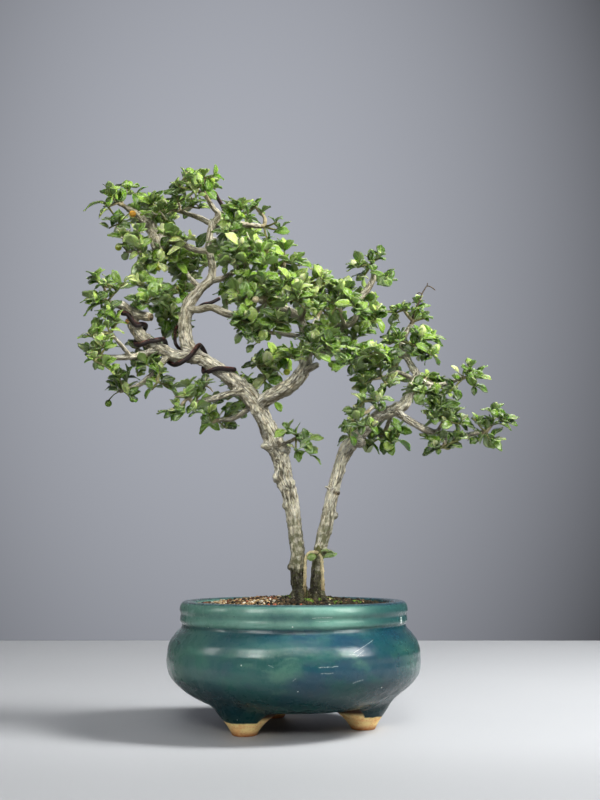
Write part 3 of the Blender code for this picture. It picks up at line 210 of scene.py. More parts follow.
# Leaves that stand out, by spray: each leaf's foot and tip, its width, how light it is, and how far up it faces
LONE: dict[str, list[tuple[float, ...]]] = {
    "tower": [(63, -26, 367, 74, -28, 371, 6.5, 0.42, 0.75), (66, -36, 346, 77, -38, 350, 10.5, 0.42, 0.1),
        (61, -16, 356, 51, -20, 357, 5.7, 0.93, 0.5), (58, -26, 362, 42, -30, 360, 4, 0.45, 0.7)],
    "tower_mid": [(61, -2, 323, 70, -6, 323, 6.9, 0.68, 0.25)],
    "cheek_right": [(52, -52, 320, 60, -56, 320, 5.7, 0.3, 0.4), (29, -36, 333, 39, -38, 340, 7.3, 0.38, 0.3),
        (40, -40, 341, 46, -42, 348, 6.5, 0.5, 0.3), (46, -50, 330, 40, -52, 338, 6.5, 0.42, 0.2)],
    "tuft_top": [(99, 20, 344, 111, 18, 344, 4.8, 0.32, 0.8), (104, 16, 332, 113, 12, 327, 6.5, 0.4, 0.45),
        (88, 14, 331, 73, 10, 334, 4.8, 0.66, 0.6), (89, 14, 326, 79, 10, 319, 4, 0.3, 0.5)],
    "collar": [(102, -4, 308, 115, -8, 307, 5.7, 0.3, 0.6), (100, -8, 297, 117, -12, 294, 5.7, 0.78, 0.75),
        (98, -3, 306, 111, -1, 303, 4.8, 0.72, 0.8)],
    "shoulder": [(62, -16, 269, 52, -20, 269, 6.5, 0.4, 0.35), (80, -26, 267, 66, -30, 263, 4.8, 0.74, 0.7),
        (61, -16, 279, 50, -20, 277, 5.7, 0.26, 0.4)],
    "arm_low": [(103, -22, 264, 97, -26, 252, 8.9, 0.42, 0.15), (104, -22, 263, 114, -24, 257, 7.3, 0.3, 0.3),
        (117, -20, 258, 113, -26, 238, 11.3, 0.6, 0.1), (117, -20, 258, 124, -18, 250, 4, 0.8, 0.6),
        (117, -20, 259, 124, -24, 264, 5.7, 0.38, 0.25)],
    "arm": [(144, -24, 274, 152, -28, 273, 5.7, 0.34, 0.2), (131, -26, 276, 125, -29, 282, 4.8, 0.84, 0.4),
        (134, -26, 276, 141, -28, 281, 5.3, 0.42, 0.4)],
    "right_end": [(160, -36, 239, 153, -40, 245, 6.5, 0.38, 0.2), (153, -29, 233, 143, -32, 239, 8.5, 0.36, 0.15),
        (160, -36, 239, 169, -38, 237, 6.1, 0.5, 0.3), (150, -29, 226, 163, -33, 214, 6.9, 0.42, 0.3),
        (146, -26, 225, 138, -30, 220, 5.7, 0.38, 0.2), (159, -36, 238, 170, -34, 232, 4.8, 0.6, 0.5)],
    "branch_low": [(113, -30, 217, 113, -32, 211, 4.8, 0.42, 0.2), (114, -14, 224, 107, -16, 219, 5.7, 0.36, 0.3)],
    "elbow_back": [(76, 26, 238, 81, 22, 221, 8.1, 0.2, 0.2), (58, 28, 228, 39, 24, 230, 3.6, 0.5, 0.7),
        (60, 28, 228, 72, 26, 217, 3.2, 0.34, 0.6), (80, 26, 242, 91, 26, 235, 5.7, 0.3, 0.4)],
    "elbow": [(52, -36, 232, 40, -40, 233, 5.3, 0.24, 0.5), (66, -38, 244, 71, -40, 250, 6.5, 0.3, 0.3)],
    "tip_left": [(-159, 20, 431, -180, 16, 425, 5.7, 0.48, 0.7), (-144, 34, 446, -146, 32, 456, 9.7, 0.48, 0.1),
        (-141, 34, 445, -134, 30, 428, 5.7, 0.26, 0.3), (-154, 10, 430, -161, 8, 437, 4.8, 0.42, 0.5)],
    "crown": [(-86, -8, 444, -88, -10, 452, 8.1, 0.46, 0.15), (-80, 4, 448, -75, 2, 455, 8.1, 0.4, 0.2),
        (-72, 16, 442, -70, 14, 452, 7.3, 0.58, 0.15), (-90, -8, 439, -104, -12, 430, 8.1, 0.2, 0.3),
        (-75, 2, 437, -65, 0, 428, 8.1, 0.26, 0.25)],
    "shelf": [(-88, 38, 434, -75, 34, 439, 5.7, 0.3, 0.5), (-111, 14, 418, -130, 10, 419, 6.5, 0.45, 0.5),
        (-110, 14, 420, -99, 10, 425, 5.7, 0.58, 0.4), (-124, 30, 431, -134, 28, 433, 5.7, 0.36, 0.6)],
    "knot_top": [(-144, 62, 427, -162, 58, 413, 7.3, 0.34, 0.35)],
    "hang": [(-131, -4, 398, -142, -6, 390, 6.5, 0.46, 0.3), (-127, 4, 384, -137, 0, 377, 5.7, 0.5, 0.3),
        (-123, 4, 391, -127, 0, 379, 6.5, 0.4, 0.2), (-122, 10, 379, -136, 6, 364, 8.9, 0.32, 0.2),
        (-92, 0, 392, -104, -4, 392, 6.5, 0.62, 0.35), (-93, 0, 386, -105, -4, 380, 5.7, 0.66, 0.4),
        (-103, 0, 400, -114, -4, 398, 4.8, 0.28, 0.4)],
    "back_top": [(-77, 72, 421, -88, 70, 406, 8.9, 0.16, 0.15), (-44, 72, 423, -35, 70, 428, 5.7, 0.34, 0.5)],
    "shelf_mid": [(-54, -8, 398, -62, -10, 384, 9.7, 0.12, 0.1)],
    "left_end": [(-150, -30, 337, -166, -34, 332, 8.9, 0.4, 0.3), (-149, -28, 333, -168, -32, 323, 4, 0.4, 0.6),
        (-152, -22, 351, -165, -26, 350, 6.5, 0.34, 0.45), (-151, -22, 352, -148, -24, 356, 4, 0.5, 0.4),
        (-144, -42, 326, -149, -44, 316, 3.6, 0.44, 0.4)],
    "left_top": [(-118, -5, 348, -108, -7, 359, 7.3, 0.4, 0.2), (-117, -5, 348, -106, -8, 348, 6.5, 0.34, 0.3)],
    "nook": [(-105, 28, 346, -95, 25, 347, 6.5, 0.34, 0.2)],
    "roof": [(-18, 30, 408, -4, 26, 408, 8.9, 0.36, 0.2), (-27, 16, 399, -16, 14, 388, 8.1, 0.3, 0.15),
        (-38, 26, 424, -31, 24, 435, 6.5, 0.4, 0.25)],
    "cheek": [(-51, -10, 349, -39, -14, 359, 9.7, 0.5, 0.15)],
    "eaves": [(-35, -22, 360, -22, -26, 366, 8.1, 0.32, 0.2)],
    "claw": [(-142, -46, 274, -135, -48, 280, 5.7, 0.36, 0.3)],
    "droop_mid": [(-94, -10, 263, -106, -12, 271, 6.5, 0.36, 0.25)],
    "foot_leaf": [(18.6, -13, 132.4, 10.4, -14, 130.8, 6.2, 0.5, 0.1),
        (23, -13, 130.6, 34, -15, 134.6, 5.2, 0.4, 0.3)],
    "front_low": [(-78, -32, 257, -69, -34, 263, 7.3, 0.38, 0.2), (-85, -32, 256, -77, -34, 267, 7.3, 0.36, 0.25),
        (-84, -38, 244, -94, -40, 237, 6.5, 0.34, 0.3)],
    "back_low": [(-74, 28, 244, -62, 26, 237, 7.3, 0.38, 0.2)],
    "far_low": [(-18, 64, 266, -11, 62, 257, 6.5, 0.36, 0.2)],
    "trunk": [(14, -24, 225, 5, -28, 217, 6.5, 0.2, 0.3), (-6, -22, 228, -1, -24, 232, 5.7, 0.28, 0.3),
        (-8, -22, 226, -12, -24, 230, 4.8, 0.3, 0.3), (2, -18, 229, 7, -22, 224, 7.3, 0.22, 0.25),
        (6, -24, 221, 15, -28, 212, 7.3, 0.22, 0.25), (9, -14, 215, 0, -18, 210, 6.5, 0.3, 0.3),
        (13, -14, 212, 22, -18, 205, 2.8, 0.3, 0.6)],
    "shelf_low": [(-33, -40, 308, -25, -42, 314, 6.5, 0.36, 0.3), (-42, -44, 312, -34, -48, 302, 7.3, 0.3, 0.2),
        (-31, -34, 298, -37, -38, 291, 5.7, 0.42, 0.3)],
    "back_mid": [(5, 62, 336, 16, 58, 328, 7.3, 0.3, 0.2), (21, 60, 365, 29, 58, 372, 6.5, 0.42, 0.3)],
    "belly": [(-12, 20, 285, -22, 18, 290, 5.7, 0.42, 0.3), (-18, 14, 270, -26, 10, 263, 6.5, 0.3, 0.2),
        (-27, 14, 273, -35, 12, 278, 5.7, 0.34, 0.3), (-8, 26, 300, 2, 24, 306, 5.7, 0.4, 0.4)],
}

# The soil's height at distances from the axis, and each trunk's foot: X, Y, lowest point, top and radius
SOIL_TOP: list[tuple[float, float]] = [(0, 99.6), (26, 98.8), (52, 96.4), (78.6, 93)]
FLARES: list[tuple[float, float, float, float, float]] = [(5, -2, 82, 103.5, 8.2), (18, -4, 82, 102.5, 8.0)]


def srgb(red: int, green: int, blue: int) -> Colour:
    """The linear colour of a screen colour.

    Args:
        red: its red, from 0 to 255.
        green: its green.
        blue: its blue.

    Returns:
        The colour, opaque.
    """
    levels = (v / 255 for v in (red, green, blue))
    linear = [v / 12.92 if v <= 0.04045 else ((v + 0.055) / 1.055) ** 2.4 for v in levels]
    return (linear[0], linear[1], linear[2], 1.0)


BLACK: Colour = (0, 0, 0, 1)
WHITE: Colour = srgb(255, 255, 255)


class Signal:
    """A shader socket that takes part in Python arithmetic."""

    def __init__(self, graph: "Graph", socket: bpy.types.NodeSocket) -> None:
        """Keeps the socket and the graph that its sums are added to."""
        self.graph = graph
        self.socket = socket

    def __add__(self, other: Any) -> "Signal":
        """Self plus other."""
        return self.graph.sum_of("ADD", self, other)

    def __sub__(self, other: Any) -> "Signal":
        """Self minus other."""
        return self.graph.sum_of("SUBTRACT", self, other)

    def __rsub__(self, other: Any) -> "Signal":
        """Other minus self."""
        return self.graph.sum_of("SUBTRACT", other, self)

    def __mul__(self, other: Any) -> "Signal":
        """Self times other."""
        return self.graph.sum_of("MULTIPLY", self, other)

    def __truediv__(self, other: Any) -> "Signal":
        """Self over other."""
        return self.graph.sum_of("DIVIDE", self, other)

    def __pow__(self, other: Any) -> "Signal":
        """Self to the power of other."""
        return self.graph.sum_of("POWER", self, other)

    def __abs__(self) -> "Signal":
        """Self without its sign."""
        return self.graph.sum_of("ABSOLUTE", self)

    __radd__ = __add__
    __rmul__ = __mul__

    def between(self, low: float, high: float) -> "Signal":
        """A smooth step of this value.

        Args:
            low: the value that gives 0.
            high: the value that gives 1; it may be under low.

        Returns:
            The step, from 0 to 1.
        """
        if low > high:
            return 1.0 - self.between(high, low)
        smooth = {"interpolation_type": "SMOOTHSTEP"}
        return self.graph.add("ShaderNodeMapRange", smooth, {0: self, 1: low, 2: high})


class Graph:
    """One material's shader, with calls that add its nodes. Lengths are in millimetres."""

    def __init__(self, name: str) -> None:
        """Starts a material of this name with a Principled shader.

        Args:
            name: the material's name.
        """
        self.material = bpy.data.materials.new(name)
        self.material.use_nodes = True
        self.tree = self.material.node_tree
        self.shader = self.tree.nodes["Principled BSDF"]

    def feed(self, socket: bpy.types.NodeSocket, value: Any) -> None:
        """Links a signal to an input, or sets the input to a plain value.

        Args:
            socket: the input.
            value: the signal or the value.
        """
        if isinstance(value, Signal):
            self.tree.links.new(value.socket, socket)
        else:
            socket.default_value = value

    def add(self, kind: str, settings: dict[str, Any], sockets: dict[Any, Any], output: Any = 0) -> Signal:
        """Adds one node.

        Args:
            kind: the node's type.
            settings: its settings, set first; stops are a ramp's places and colours.
            sockets: values or signals for its inputs, by name or number.
            output: the name or number of the output that is wanted.

        Returns:
            That output.
        """
        made = self.tree.nodes.new(kind)
        for name, value in settings.items():
            if name == "stops":
                ramp = made.color_ramp.elements
                for _ in value[2:]:
                    ramp.new(1.0)
                for stop, (place, colour) in zip(ramp, value):
                    stop.position, stop.color = place, colour
            else:
                setattr(made, name, value)
        for key, value in sockets.items():
            self.feed(made.inputs[key], value)
        return Signal(self, made.outputs[output])

    def sum_of(self, operation: str, left: Any, right: Any = 0.0) -> Signal:
        """One Math node on one or two values, each a signal or a number."""
        return self.add("ShaderNodeMath", {"operation": operation}, {0: left, 1: right})

    def place(self) -> Signal:
        """The point on the object."""
        here = self.add("ShaderNodeTexCoord", {}, {}, "Object")
        return self.add("ShaderNodeVectorMath", {"operation": "SCALE"}, {0: here, "Scale": 1 / MM})

    def axes(self, vector: Signal) -> tuple[Signal, ...]:
        """A vector's X, Y and Z."""
        split = self.add("ShaderNodeSeparateXYZ", {}, {0: vector}).socket.node
        return tuple(Signal(self, split.outputs[i]) for i in range(3))

    def facing_up(self) -> Signal:
        """How far up the surface faces: -1 is down and 1 is up."""
        return self.axes(self.add("ShaderNodeNewGeometry", {}, {}, "Normal"))[2]

    def attribute(self, name: str, output: str) -> Signal:
        """One output of the values that the mesh's points carry."""
        return self.add("ShaderNodeAttribute", {"attribute_name": name}, {}, output)

    def mottle(self, vector: Signal, size: float, detail: float = 3.0, rough: float = 0.55) -> Signal:
        """Soft noise from 0 to 1 in patches of about this size, with finer layers over them."""
        sockets = {"Vector": vector, "Scale": 1 / size, "Detail": detail, "Roughness": rough}
        return self.add("ShaderNodeTexNoise", {}, sockets)

    def cells(self, vector: Signal, size: float, feature: str = "F1") -> Signal:
        """Distance to the nearest of points scattered about a size apart, or to the edge between two."""
        sockets = {"Vector": vector, "Scale": 1 / size}
        return self.add("ShaderNodeTexVoronoi", {"feature": feature}, sockets, "Distance")

    def mix(self, share: Any, first: Any, second: Any) -> Signal:
        """Two colours mixed, with a share of the second."""
        return self.add("ShaderNodeMix", {"data_type": "RGBA"}, {0: share, 6: first, 7: second}, 2)

    def layered(self, colour: Any, *coats: tuple[Any, Any]) -> Signal:
        """A colour with others laid over it.

        Args:
            colour: the lowest colour.
            coats: how much of each further colour covers what is under it, and that colour.

        Returns:
            The colour that shows.
        """
        for share, over in coats:
            colour = self.mix(share, colour, over)
        return colour

    def scale(self, vector: Signal, by: Point) -> Signal:
        """A vector stretched along each axis."""
        return self.add("ShaderNodeVectorMath", {"operation": "MULTIPLY"}, {0: vector, 1: by})

    def warp(self, vector: Signal, size: float, by: float) -> Signal:
        """A vector pushed about by noise.

        Args:
            vector: where a pattern is read.
            size: how wide the noise's patches are.
            by: how far apart two points may be pushed.

        Returns:
            The pushed vector.
        """
        cloud = self.add("ShaderNodeTexNoise", {}, {"Vector": vector, "Scale": 1 / size, "Detail": 2.0}, "Color")
        spread = {0: cloud, 1: (by, by, by), 2: (-by / 2,) * 3}
        push = self.add("ShaderNodeVectorMath", {"operation": "MULTIPLY_ADD"}, spread)
        return self.add("ShaderNodeVectorMath", {"operation": "ADD"}, {0: vector, 1: push})

    def finish(self, relief: Signal | None = None, depth: float = 0.3, **sockets: Any) -> bpy.types.Material:
        """Feeds the Principled shader.

        Args:
            relief: the height that a bump is made from, if any.
            depth: what a height of 1 stands for.
            sockets: values or signals by socket, with underscores for spaces.

        Returns:
            The material.
        """
        for key, value in sockets.items():
            self.feed(self.shader.inputs[key.replace("_", " ")], value)
        if relief is not None:
            bump = self.add("ShaderNodeBump", {}, {"Height": relief, "Distance": depth * MM})
            self.feed(self.shader.inputs["Normal"], bump)
        return self.material


@dataclass(frozen=True)
class Glaze:
    """Teal glaze run over tan clay, which is bare underneath and at the ends of the feet."""

    teal: Colour = srgb(28, 86, 84)
    blue: Colour = srgb(20, 58, 84)
    sage: Colour = srgb(80, 124, 108)
    deep: Colour = srgb(4, 40, 41)
    # Painted highlight colour for the rim
    light: Colour = srgb(112, 154, 142)
    # Painted shade colour for the right of the rim
    painted_rim_shade: Colour = srgb(20, 58, 62)
    crest: Colour = srgb(22, 46, 62)
    pinhole: Colour = srgb(206, 214, 208)
    # Pale colour of the scratch marks and of the painted reflections
    scratch_and_reflection: Colour = srgb(206, 216, 212)
    clay: Colour = srgb(255, 226, 158)
    toasted: Colour = srgb(240, 164, 98)
    rusty: Colour = srgb(178, 106, 58)
    burnt: Colour = srgb(170, 84, 40)
    # Painted shade colour for the underside
    painted_underside_shade: Colour = srgb(60, 42, 30)
    bare_below: float = 10.5
    bare_within: float = 60.5
    # Each pale line: the X and Z of its middle, its tilt, half its length, its thickness and its strength. The
    # level lines, and the faint slant low on the right at X 47, are painted reflections; the other slanted lines
    # are scratch marks, and the last is the chip in the band
    marks: tuple[tuple[float, float, float, float, float, float], ...] = (
        (51.8, 68.2, 0.51, 9.0, 0.16, 0.62), (26.0, 55.1, 0.0, 7.8, 0.3, 0.45), (25.0, 50.9, 0.0, 5.0, 0.22, 0.3),
        (22.2, 88.8, 0.0, 8.0, 0.24, 0.45), (22.0, 86.0, 0.0, 5.5, 0.18, 0.35), (46.0, 62.8, -0.1, 6.0, 0.18, 0.2),
        (49.0, 63.6, 0.62, 4.0, 0.2, 0.3), (47.2, 44.2, 0.3, 4.5, 0.34, 0.3), (-14.3, 55.8, -0.4, 3.0, 0.3, 0.3),
        (2.0, 46.6, 0.7, 2.2, 0.3, 0.4), (83.0, 83.8, 1.62, 3.3, 0.5, 1.0),
    )

    def material(self, axis_x: float) -> bpy.types.Material:
        """Makes the material.

        Args:
            axis_x: X of the pot's axis on the object, in millimetres.

        Returns:
            The material.
        """
        g = Graph("glaze")
        here = g.place()
        x, y, z = g.axes(here)
        right = x - axis_x
        flow = g.warp(here, 26, 12)
        bands = g.mottle(g.scale(flow, (0.32, 0.32, 1.5)), 17, 3)
        runs = g.mottle(g.scale(flow, (0.6, 0.6, 0.9)), 24, 3)
        flecks = g.mottle(here, 2.6, 4, 0.65)
        neck = z.between(60, 74) * z.between(82, 79)
        upper = z.between(79.6, 82)
        # Painted light and shade on the rim's sage band: lighter on its upper and lower rolls, darker in the hollow
        # at Z 88.2, and lit most over its front and left
        band = upper * (1.1 - 0.6 * flecks) * (0.45 + 0.5 * abs(z - 88.2).between(0.8, 4.4))
        painted_rim_light = abs(right + 24).between(96, 40) * (0.42 + 0.58 * runs.between(0.58, 0.42))
        specks = g.cells(here, 5.5).between(0.085, 0.055) * g.mottle(here, 9).between(0.46, 0.54)
        pinholes = g.cells(g.scale(here, (1, 1, 0.9)), 15).between(0.04, 0.028)
        glaze = g.layered(
            self.teal,
            ((bands * 0.8 + flecks * 0.2).between(0.44, 0.64) * 0.85, self.sage),
            ((runs * 0.85 + flecks * 0.15).between(0.45, 0.62) * 0.85, self.blue),
            (neck * (0.3 + 0.6 * flecks), self.blue),
            # Painted shade: the glaze darker towards the right side
            (right.between(0, 96) * 0.62, self.deep),
            # Painted light: paler sage over the lower left of the belly
            (right.between(-10, -90) * z.between(20, 48) * 0.62, self.sage),
            # Painted shade: darker towards the bottom of the belly
            (z.between(57, 24) * (0.72 + 0.3 * flecks), self.deep),
            # The rim's sage band with its painted light and shade, then a painted highlight over its front and left
            (band, self.sage),
            (band * painted_rim_light, self.light),
            # Painted shade over the right of the band
            (upper * right.between(28, 74) * 0.84, self.painted_rim_shade),
            (z.between(80.8, 78.8) * z.between(76.5, 79) * 0.5, self.deep),
            (z.between(95.4, 97.0) * 0.75, self.crest),
            (specks * 0.7, self.deep),
            (pinholes, self.pinhole),
            # Scratch marks, the chip in the band, and painted reflections in level lines
            (self.scratches_and_reflections(g, x, y, z), self.scratch_and_reflection),
        )
        clay = g.layered(
            self.clay,
            (g.mottle(here, 6, 5, 0.65).between(0.42, 0.66) * 0.5, self.toasted),
            (g.mottle(here, 1.5, 4, 0.7).between(0.52, 0.68) * 0.4, self.rusty),
            (z.between(5.6, 0.4) * (0.4 + 0.8 * flecks), self.burnt),
            # Painted shade over the underside between the feet
            (z.between(11, 15), self.painted_underside_shade),
        )
        edge = g.mottle(here, 15, 2)
        radius = (right ** 2 + y ** 2) ** 0.5
        low = (z + edge * 4 - 2).between(self.bare_below + 0.4, self.bare_below - 0.4)
        under = (radius + edge * 6 - 3).between(self.bare_within + 0.6, self.bare_within - 0.6) * z.between(26, 25)
        bare = g.sum_of("MAXIMUM", low, under)
        dull = 0.2 + 0.2 * g.mottle(here, 8, 3).between(0.4, 0.7) + 0.08 * flecks
        ripples = g.mottle(here, 4, 3) * 0.6 + g.mottle(g.scale(here, (0.2, 0.2, 1.0)), 2.6, 2) * 0.5
        relief = ripples * z.between(14, 60) * (1 - bare) + g.mottle(here, 0.7, 3) * bare * 0.8 - pinholes * 0.6
        frost = g.mottle(g.scale(here, (1, 1, 1.5)), 5, 5, 0.7).between(0.36, 0.62)
        gloss = z.between(24, 56) * (1 - 0.45 * z.between(76.5, 79)) * (1 - bare) * (0.6 + 0.6 * frost)
        colour, rough = g.mix(bare, glaze, clay), dull * (1 - bare) + bare * 0.86
        return g.finish(relief, 0.35, Base_Color=colour, Roughness=rough, Specular_IOR_Level=0.14,
                        Coat_Weight=gloss, Coat_Roughness=0.25)

    def scratches_and_reflections(self, g: Graph, x: Signal, y: Signal, z: Signal) -> Signal:
        """The pale scratch marks on the front, the painted reflections among them, and the chip in the band.

        Args:
            g: the graph.
            x: the point's X.
            y: its Y.
            z: its Z.

        Returns:
            How pale each point is from scratch marks and painted reflections, from 0 to 1.
        """
        found: Signal | float = 0.0
        flat = g.add("ShaderNodeCombineXYZ", {}, {0: x, 2: z})
        broken = 0.35 + 0.65 * g.mottle(flat, 1.3, 2).between(0.42, 0.56)
        wobble = g.mottle(flat, 7, 2) * 2.4 - 1.2
        for middle_x, middle_z, tilt, half, thick, strength in self.marks:
            c, s = math.cos(tilt), math.sin(tilt)
            along = (x - middle_x) * c + (z - middle_z) * s
            off = (z - middle_z) * c - (x - middle_x) * s + wobble * min(half / 8, 1.0)
            line = abs(off).between(thick * 1.5, thick * 0.5) * abs(along).between(half, half - 1.2)
            found = found + line * strength
        return found * broken * y.between(-20, -24)


@dataclass(frozen=True)
class Bark:
    """Pale fissured bark with grey and warm patches, dark and damp where the trunks leave the soil."""

    pale: Colour = srgb(250, 243, 217)
    grey: Colour = srgb(200, 194, 168)
    warm: Colour = srgb(214, 192, 152)
    # Pale flaking bark, and the painted light on upper faces
    flake_and_painted_light: Colour = srgb(252, 249, 234)
    crack: Colour = srgb(70, 60, 42)
    lichen: Colour = srgb(164, 168, 126)
    shaded: Colour = srgb(86, 78, 56)
    # Moss low on the trunks, darkened as painted shade
    mossy_and_painted_shade: Colour = srgb(108, 110, 76)
    # Painted shade colour for the upper limbs
    painted_canopy_shade: Colour = srgb(128, 120, 92)
    damp: Colour = srgb(44, 39, 27)
    moss: Colour = srgb(78, 84, 42)
    damp_below: float = 122.0

    def material(self) -> bpy.types.Material:
        """Makes the material.

        Returns:
            The material.
        """
        g = Graph("bark")
        here = g.place()
        height, up = g.axes(here)[2], g.facing_up()
        grain = g.attribute("grain", "Vector")
        lines = g.scale(grain, (1, 1, 0.5))
        fine = g.mottle(lines, 0.9, 4, 0.75)
        cracks = g.cells(g.warp(lines, 1.2, 0.9), 1.3, "DISTANCE_TO_EDGE").between(0.2, 0.02)
        seams = g.cells(g.warp(lines, 2.2, 1.6), 3.3, "DISTANCE_TO_EDGE").between(0.12, 0.02)
        breaks = g.mottle(grain, 2.4, 3).between(0.38, 0.6)
        gaps = g.mottle(grain, 5, 3).between(0.44, 0.6)
        damp = (height + 44 * g.mottle(here, 9, 4) - 22).between(self.damp_below + 5, self.damp_below - 5)
        ground = g.layered(
            self.damp,
            (g.mottle(here, 2.2, 4).between(0.48, 0.62) * 0.7, self.moss),
            (g.mottle(grain, 1.4, 4).between(0.57, 0.7) * 0.4, self.grey),
        )
        colour = g.layered(
            self.pale,
            (g.mottle(here, 11, 4).between(0.4, 0.62) * 0.6, self.grey),
            (g.mottle(grain, 3, 4).between(0.5, 0.7) * 0.55, self.warm),
            (g.mottle(here, 6, 4).between(0.54, 0.68) * 0.4, self.lichen),
            (g.mottle(lines, 2.1, 4, 0.7).between(0.49, 0.6) * 0.85, self.flake_and_painted_light),
            (fine.between(0.48, 0.32) * 0.36, self.crack),
            (cracks * (0.12 + 0.48 * breaks), self.crack),
            (seams * (0.2 + 0.62 * gaps), self.crack),
            # Painted shade on the faces that face down, and painted light on those that face up
            (up.between(0.05, -0.7) * 0.7, self.shaded),
            (up.between(0.2, 0.9) * 0.35, self.flake_and_painted_light),
            # Low on the trunks: moss, with painted shade that darkens it
            (height.between(190, 140) * (0.2 + 0.75 * g.mottle(here, 5, 4).between(0.4, 0.6)), self.mossy_and_painted_shade),
            # Painted shade on the upper limbs and the leader, where the leaves shade them
            (height.between(285, 325) * (0.1 + 0.5 * g.mottle(here, 8, 3)), self.painted_canopy_shade),
            (damp * 0.92, ground),
        )
        relief = fine * 0.9 - cracks * breaks * 0.8 - seams * (0.4 + 0.5 * gaps)
        return g.finish(relief, 0.9, Base_Color=colour, Roughness=0.8 + 0.14 * fine, Specular_IOR_Level=0.25)


@dataclass(frozen=True)
class Foliage:
    """Small waxy leaves from dark to yellow green, with a pale midrib, side veins and a paler back."""

    greens: tuple[tuple[float, Colour], ...] = (
        (0.0, srgb(42, 66, 10)), (0.28, srgb(82, 119, 26)), (0.5, srgb(124, 156, 56)),
        (0.74, srgb(174, 190, 112)), (0.92, srgb(206, 213, 158)), (1.0, srgb(218, 180, 58)),
    )
    rib: Colour = srgb(160, 184, 104)
    back: Colour = srgb(138, 158, 92)
    sheen: Colour = srgb(214, 217, 204)
    # Painted shade colour for the leaves low on the right
    painted_shade_green: Colour = srgb(30, 50, 10)

    def material(self) -> bpy.types.Material:
        """Makes the material.

        Returns:
            The material.
        """
        g = Graph("leaves")
        here = g.place()
        x, _, z = g.axes(here)
        along, across, tone = g.axes(g.attribute("leaf", "Color"))
        top = g.attribute("leaf", "Alpha")
        off = abs(across - 0.5) * 2
        blotch = g.mottle(here, 4.5, 3)
        rib = off.between(0.11, 0.03) * along.between(1.0, 0.8)
        veins = g.sum_of("SINE", (along * 6.5 - off * 2.2) * 6.2832).between(0.72, 1.0) * off.between(0.95, 0.8)
        colour = g.layered(
            g.add("ShaderNodeValToRGB", {"stops": self.greens}, {0: tone + 0.16 * blotch - 0.08}),
            (rib * 0.55 + veins * 0.14, self.rib),
            ((1 - top) * 0.55, self.back),
            # Painted shade: darker leaves low on the right of the crown
            (x.between(-20, 60) * z.between(300, 262) * 0.36, self.painted_shade_green),
            # Painted sheen on the upper faces of leaves that face up
            (g.facing_up().between(0.6, 0.99) * top * (0.06 + 0.6 * blotch), self.sheen),
            (g.mottle(here, 0.9, 2).between(0.66, 0.72) * 0.25, self.rib),
        )
        dull = 0.17 + 0.2 * blotch + 0.2 * (1 - top)
        return g.finish(veins * 0.3 - rib * 0.7 + 0.25 * blotch, 0.2, Base_Color=colour, Roughness=dull,
                        Specular_IOR_Level=1.0, Subsurface_Weight=0.25, Subsurface_Radius=(0.6, 1.0, 0.12),
                        Subsurface_Scale=0.001)


@dataclass(frozen=True)
class Tinted:
    """A finish whose main colour each point of the mesh carries, with mottling and a grain of its own."""

    name: str
    roughness: float
    patch: float
    contrast: float
    grain: float
    depth: float
    shadow: Colour = srgb(40, 34, 26)

    def material(self) -> bpy.types.Material:
        """Makes the material.

        Returns:
            The material.
        """
        g = Graph(self.name)
        here = g.place()
        patches = g.mottle(here, self.patch, 4, 0.6)
        shade = g.mix(patches.between(0.35, 0.7) * self.contrast, g.attribute("tint", "Color"), self.shadow)
        relief = g.mottle(here, self.grain, 3) * 0.7 + patches * 0.5
        return g.finish(relief, self.depth, Base_Color=shade, Roughness=self.roughness + 0.1 * patches,
                        Specular_IOR_Level=0.25)


@dataclass(frozen=True)
class Anodised:
    """Dark brown anodised wire, with a pinkish painted highlight in patches on its upper faces."""

    brown: Colour = srgb(36, 24, 23)
    highlight_pink: Colour = srgb(176, 112, 100)

    def material(self) -> bpy.types.Material:
        """Makes the material.

        Returns:
            The material.
        """
        g = Graph("wire")
        here = g.place()
        # Painted highlight: pinkish patches on the faces that face up
        painted_highlight = g.mottle(here, 5, 4).between(0.42, 0.62) * g.facing_up().between(0.1, 0.75)
        scuffs = g.mottle(here, 0.8, 3)
        return g.finish(scuffs, 0.1, Base_Color=g.mix(painted_highlight * 0.6, self.brown, self.highlight_pink),
                        Roughness=0.3 + 0.2 * scuffs, Metallic=0.3 + 0.2 * painted_highlight)


@dataclass(frozen=True)
class Netting:
    """Black moulded plastic with a fine matt grain."""

    black: Colour = srgb(28, 28, 28)
    dusty: Colour = srgb(88, 78, 64)

    def material(self) -> bpy.types.Material:
        """Makes the material.

        Returns:
            The material.
        """
        g = Graph("drain_mesh")
        here = g.place()
        dust = g.mottle(here, 4, 4).between(0.5, 0.75)
        return g.finish(g.mottle(here, 0.6, 2), 0.08, Base_Color=g.mix(dust * 0.6, self.black, self.dusty),
                        Roughness=0.6 + 0.3 * dust)


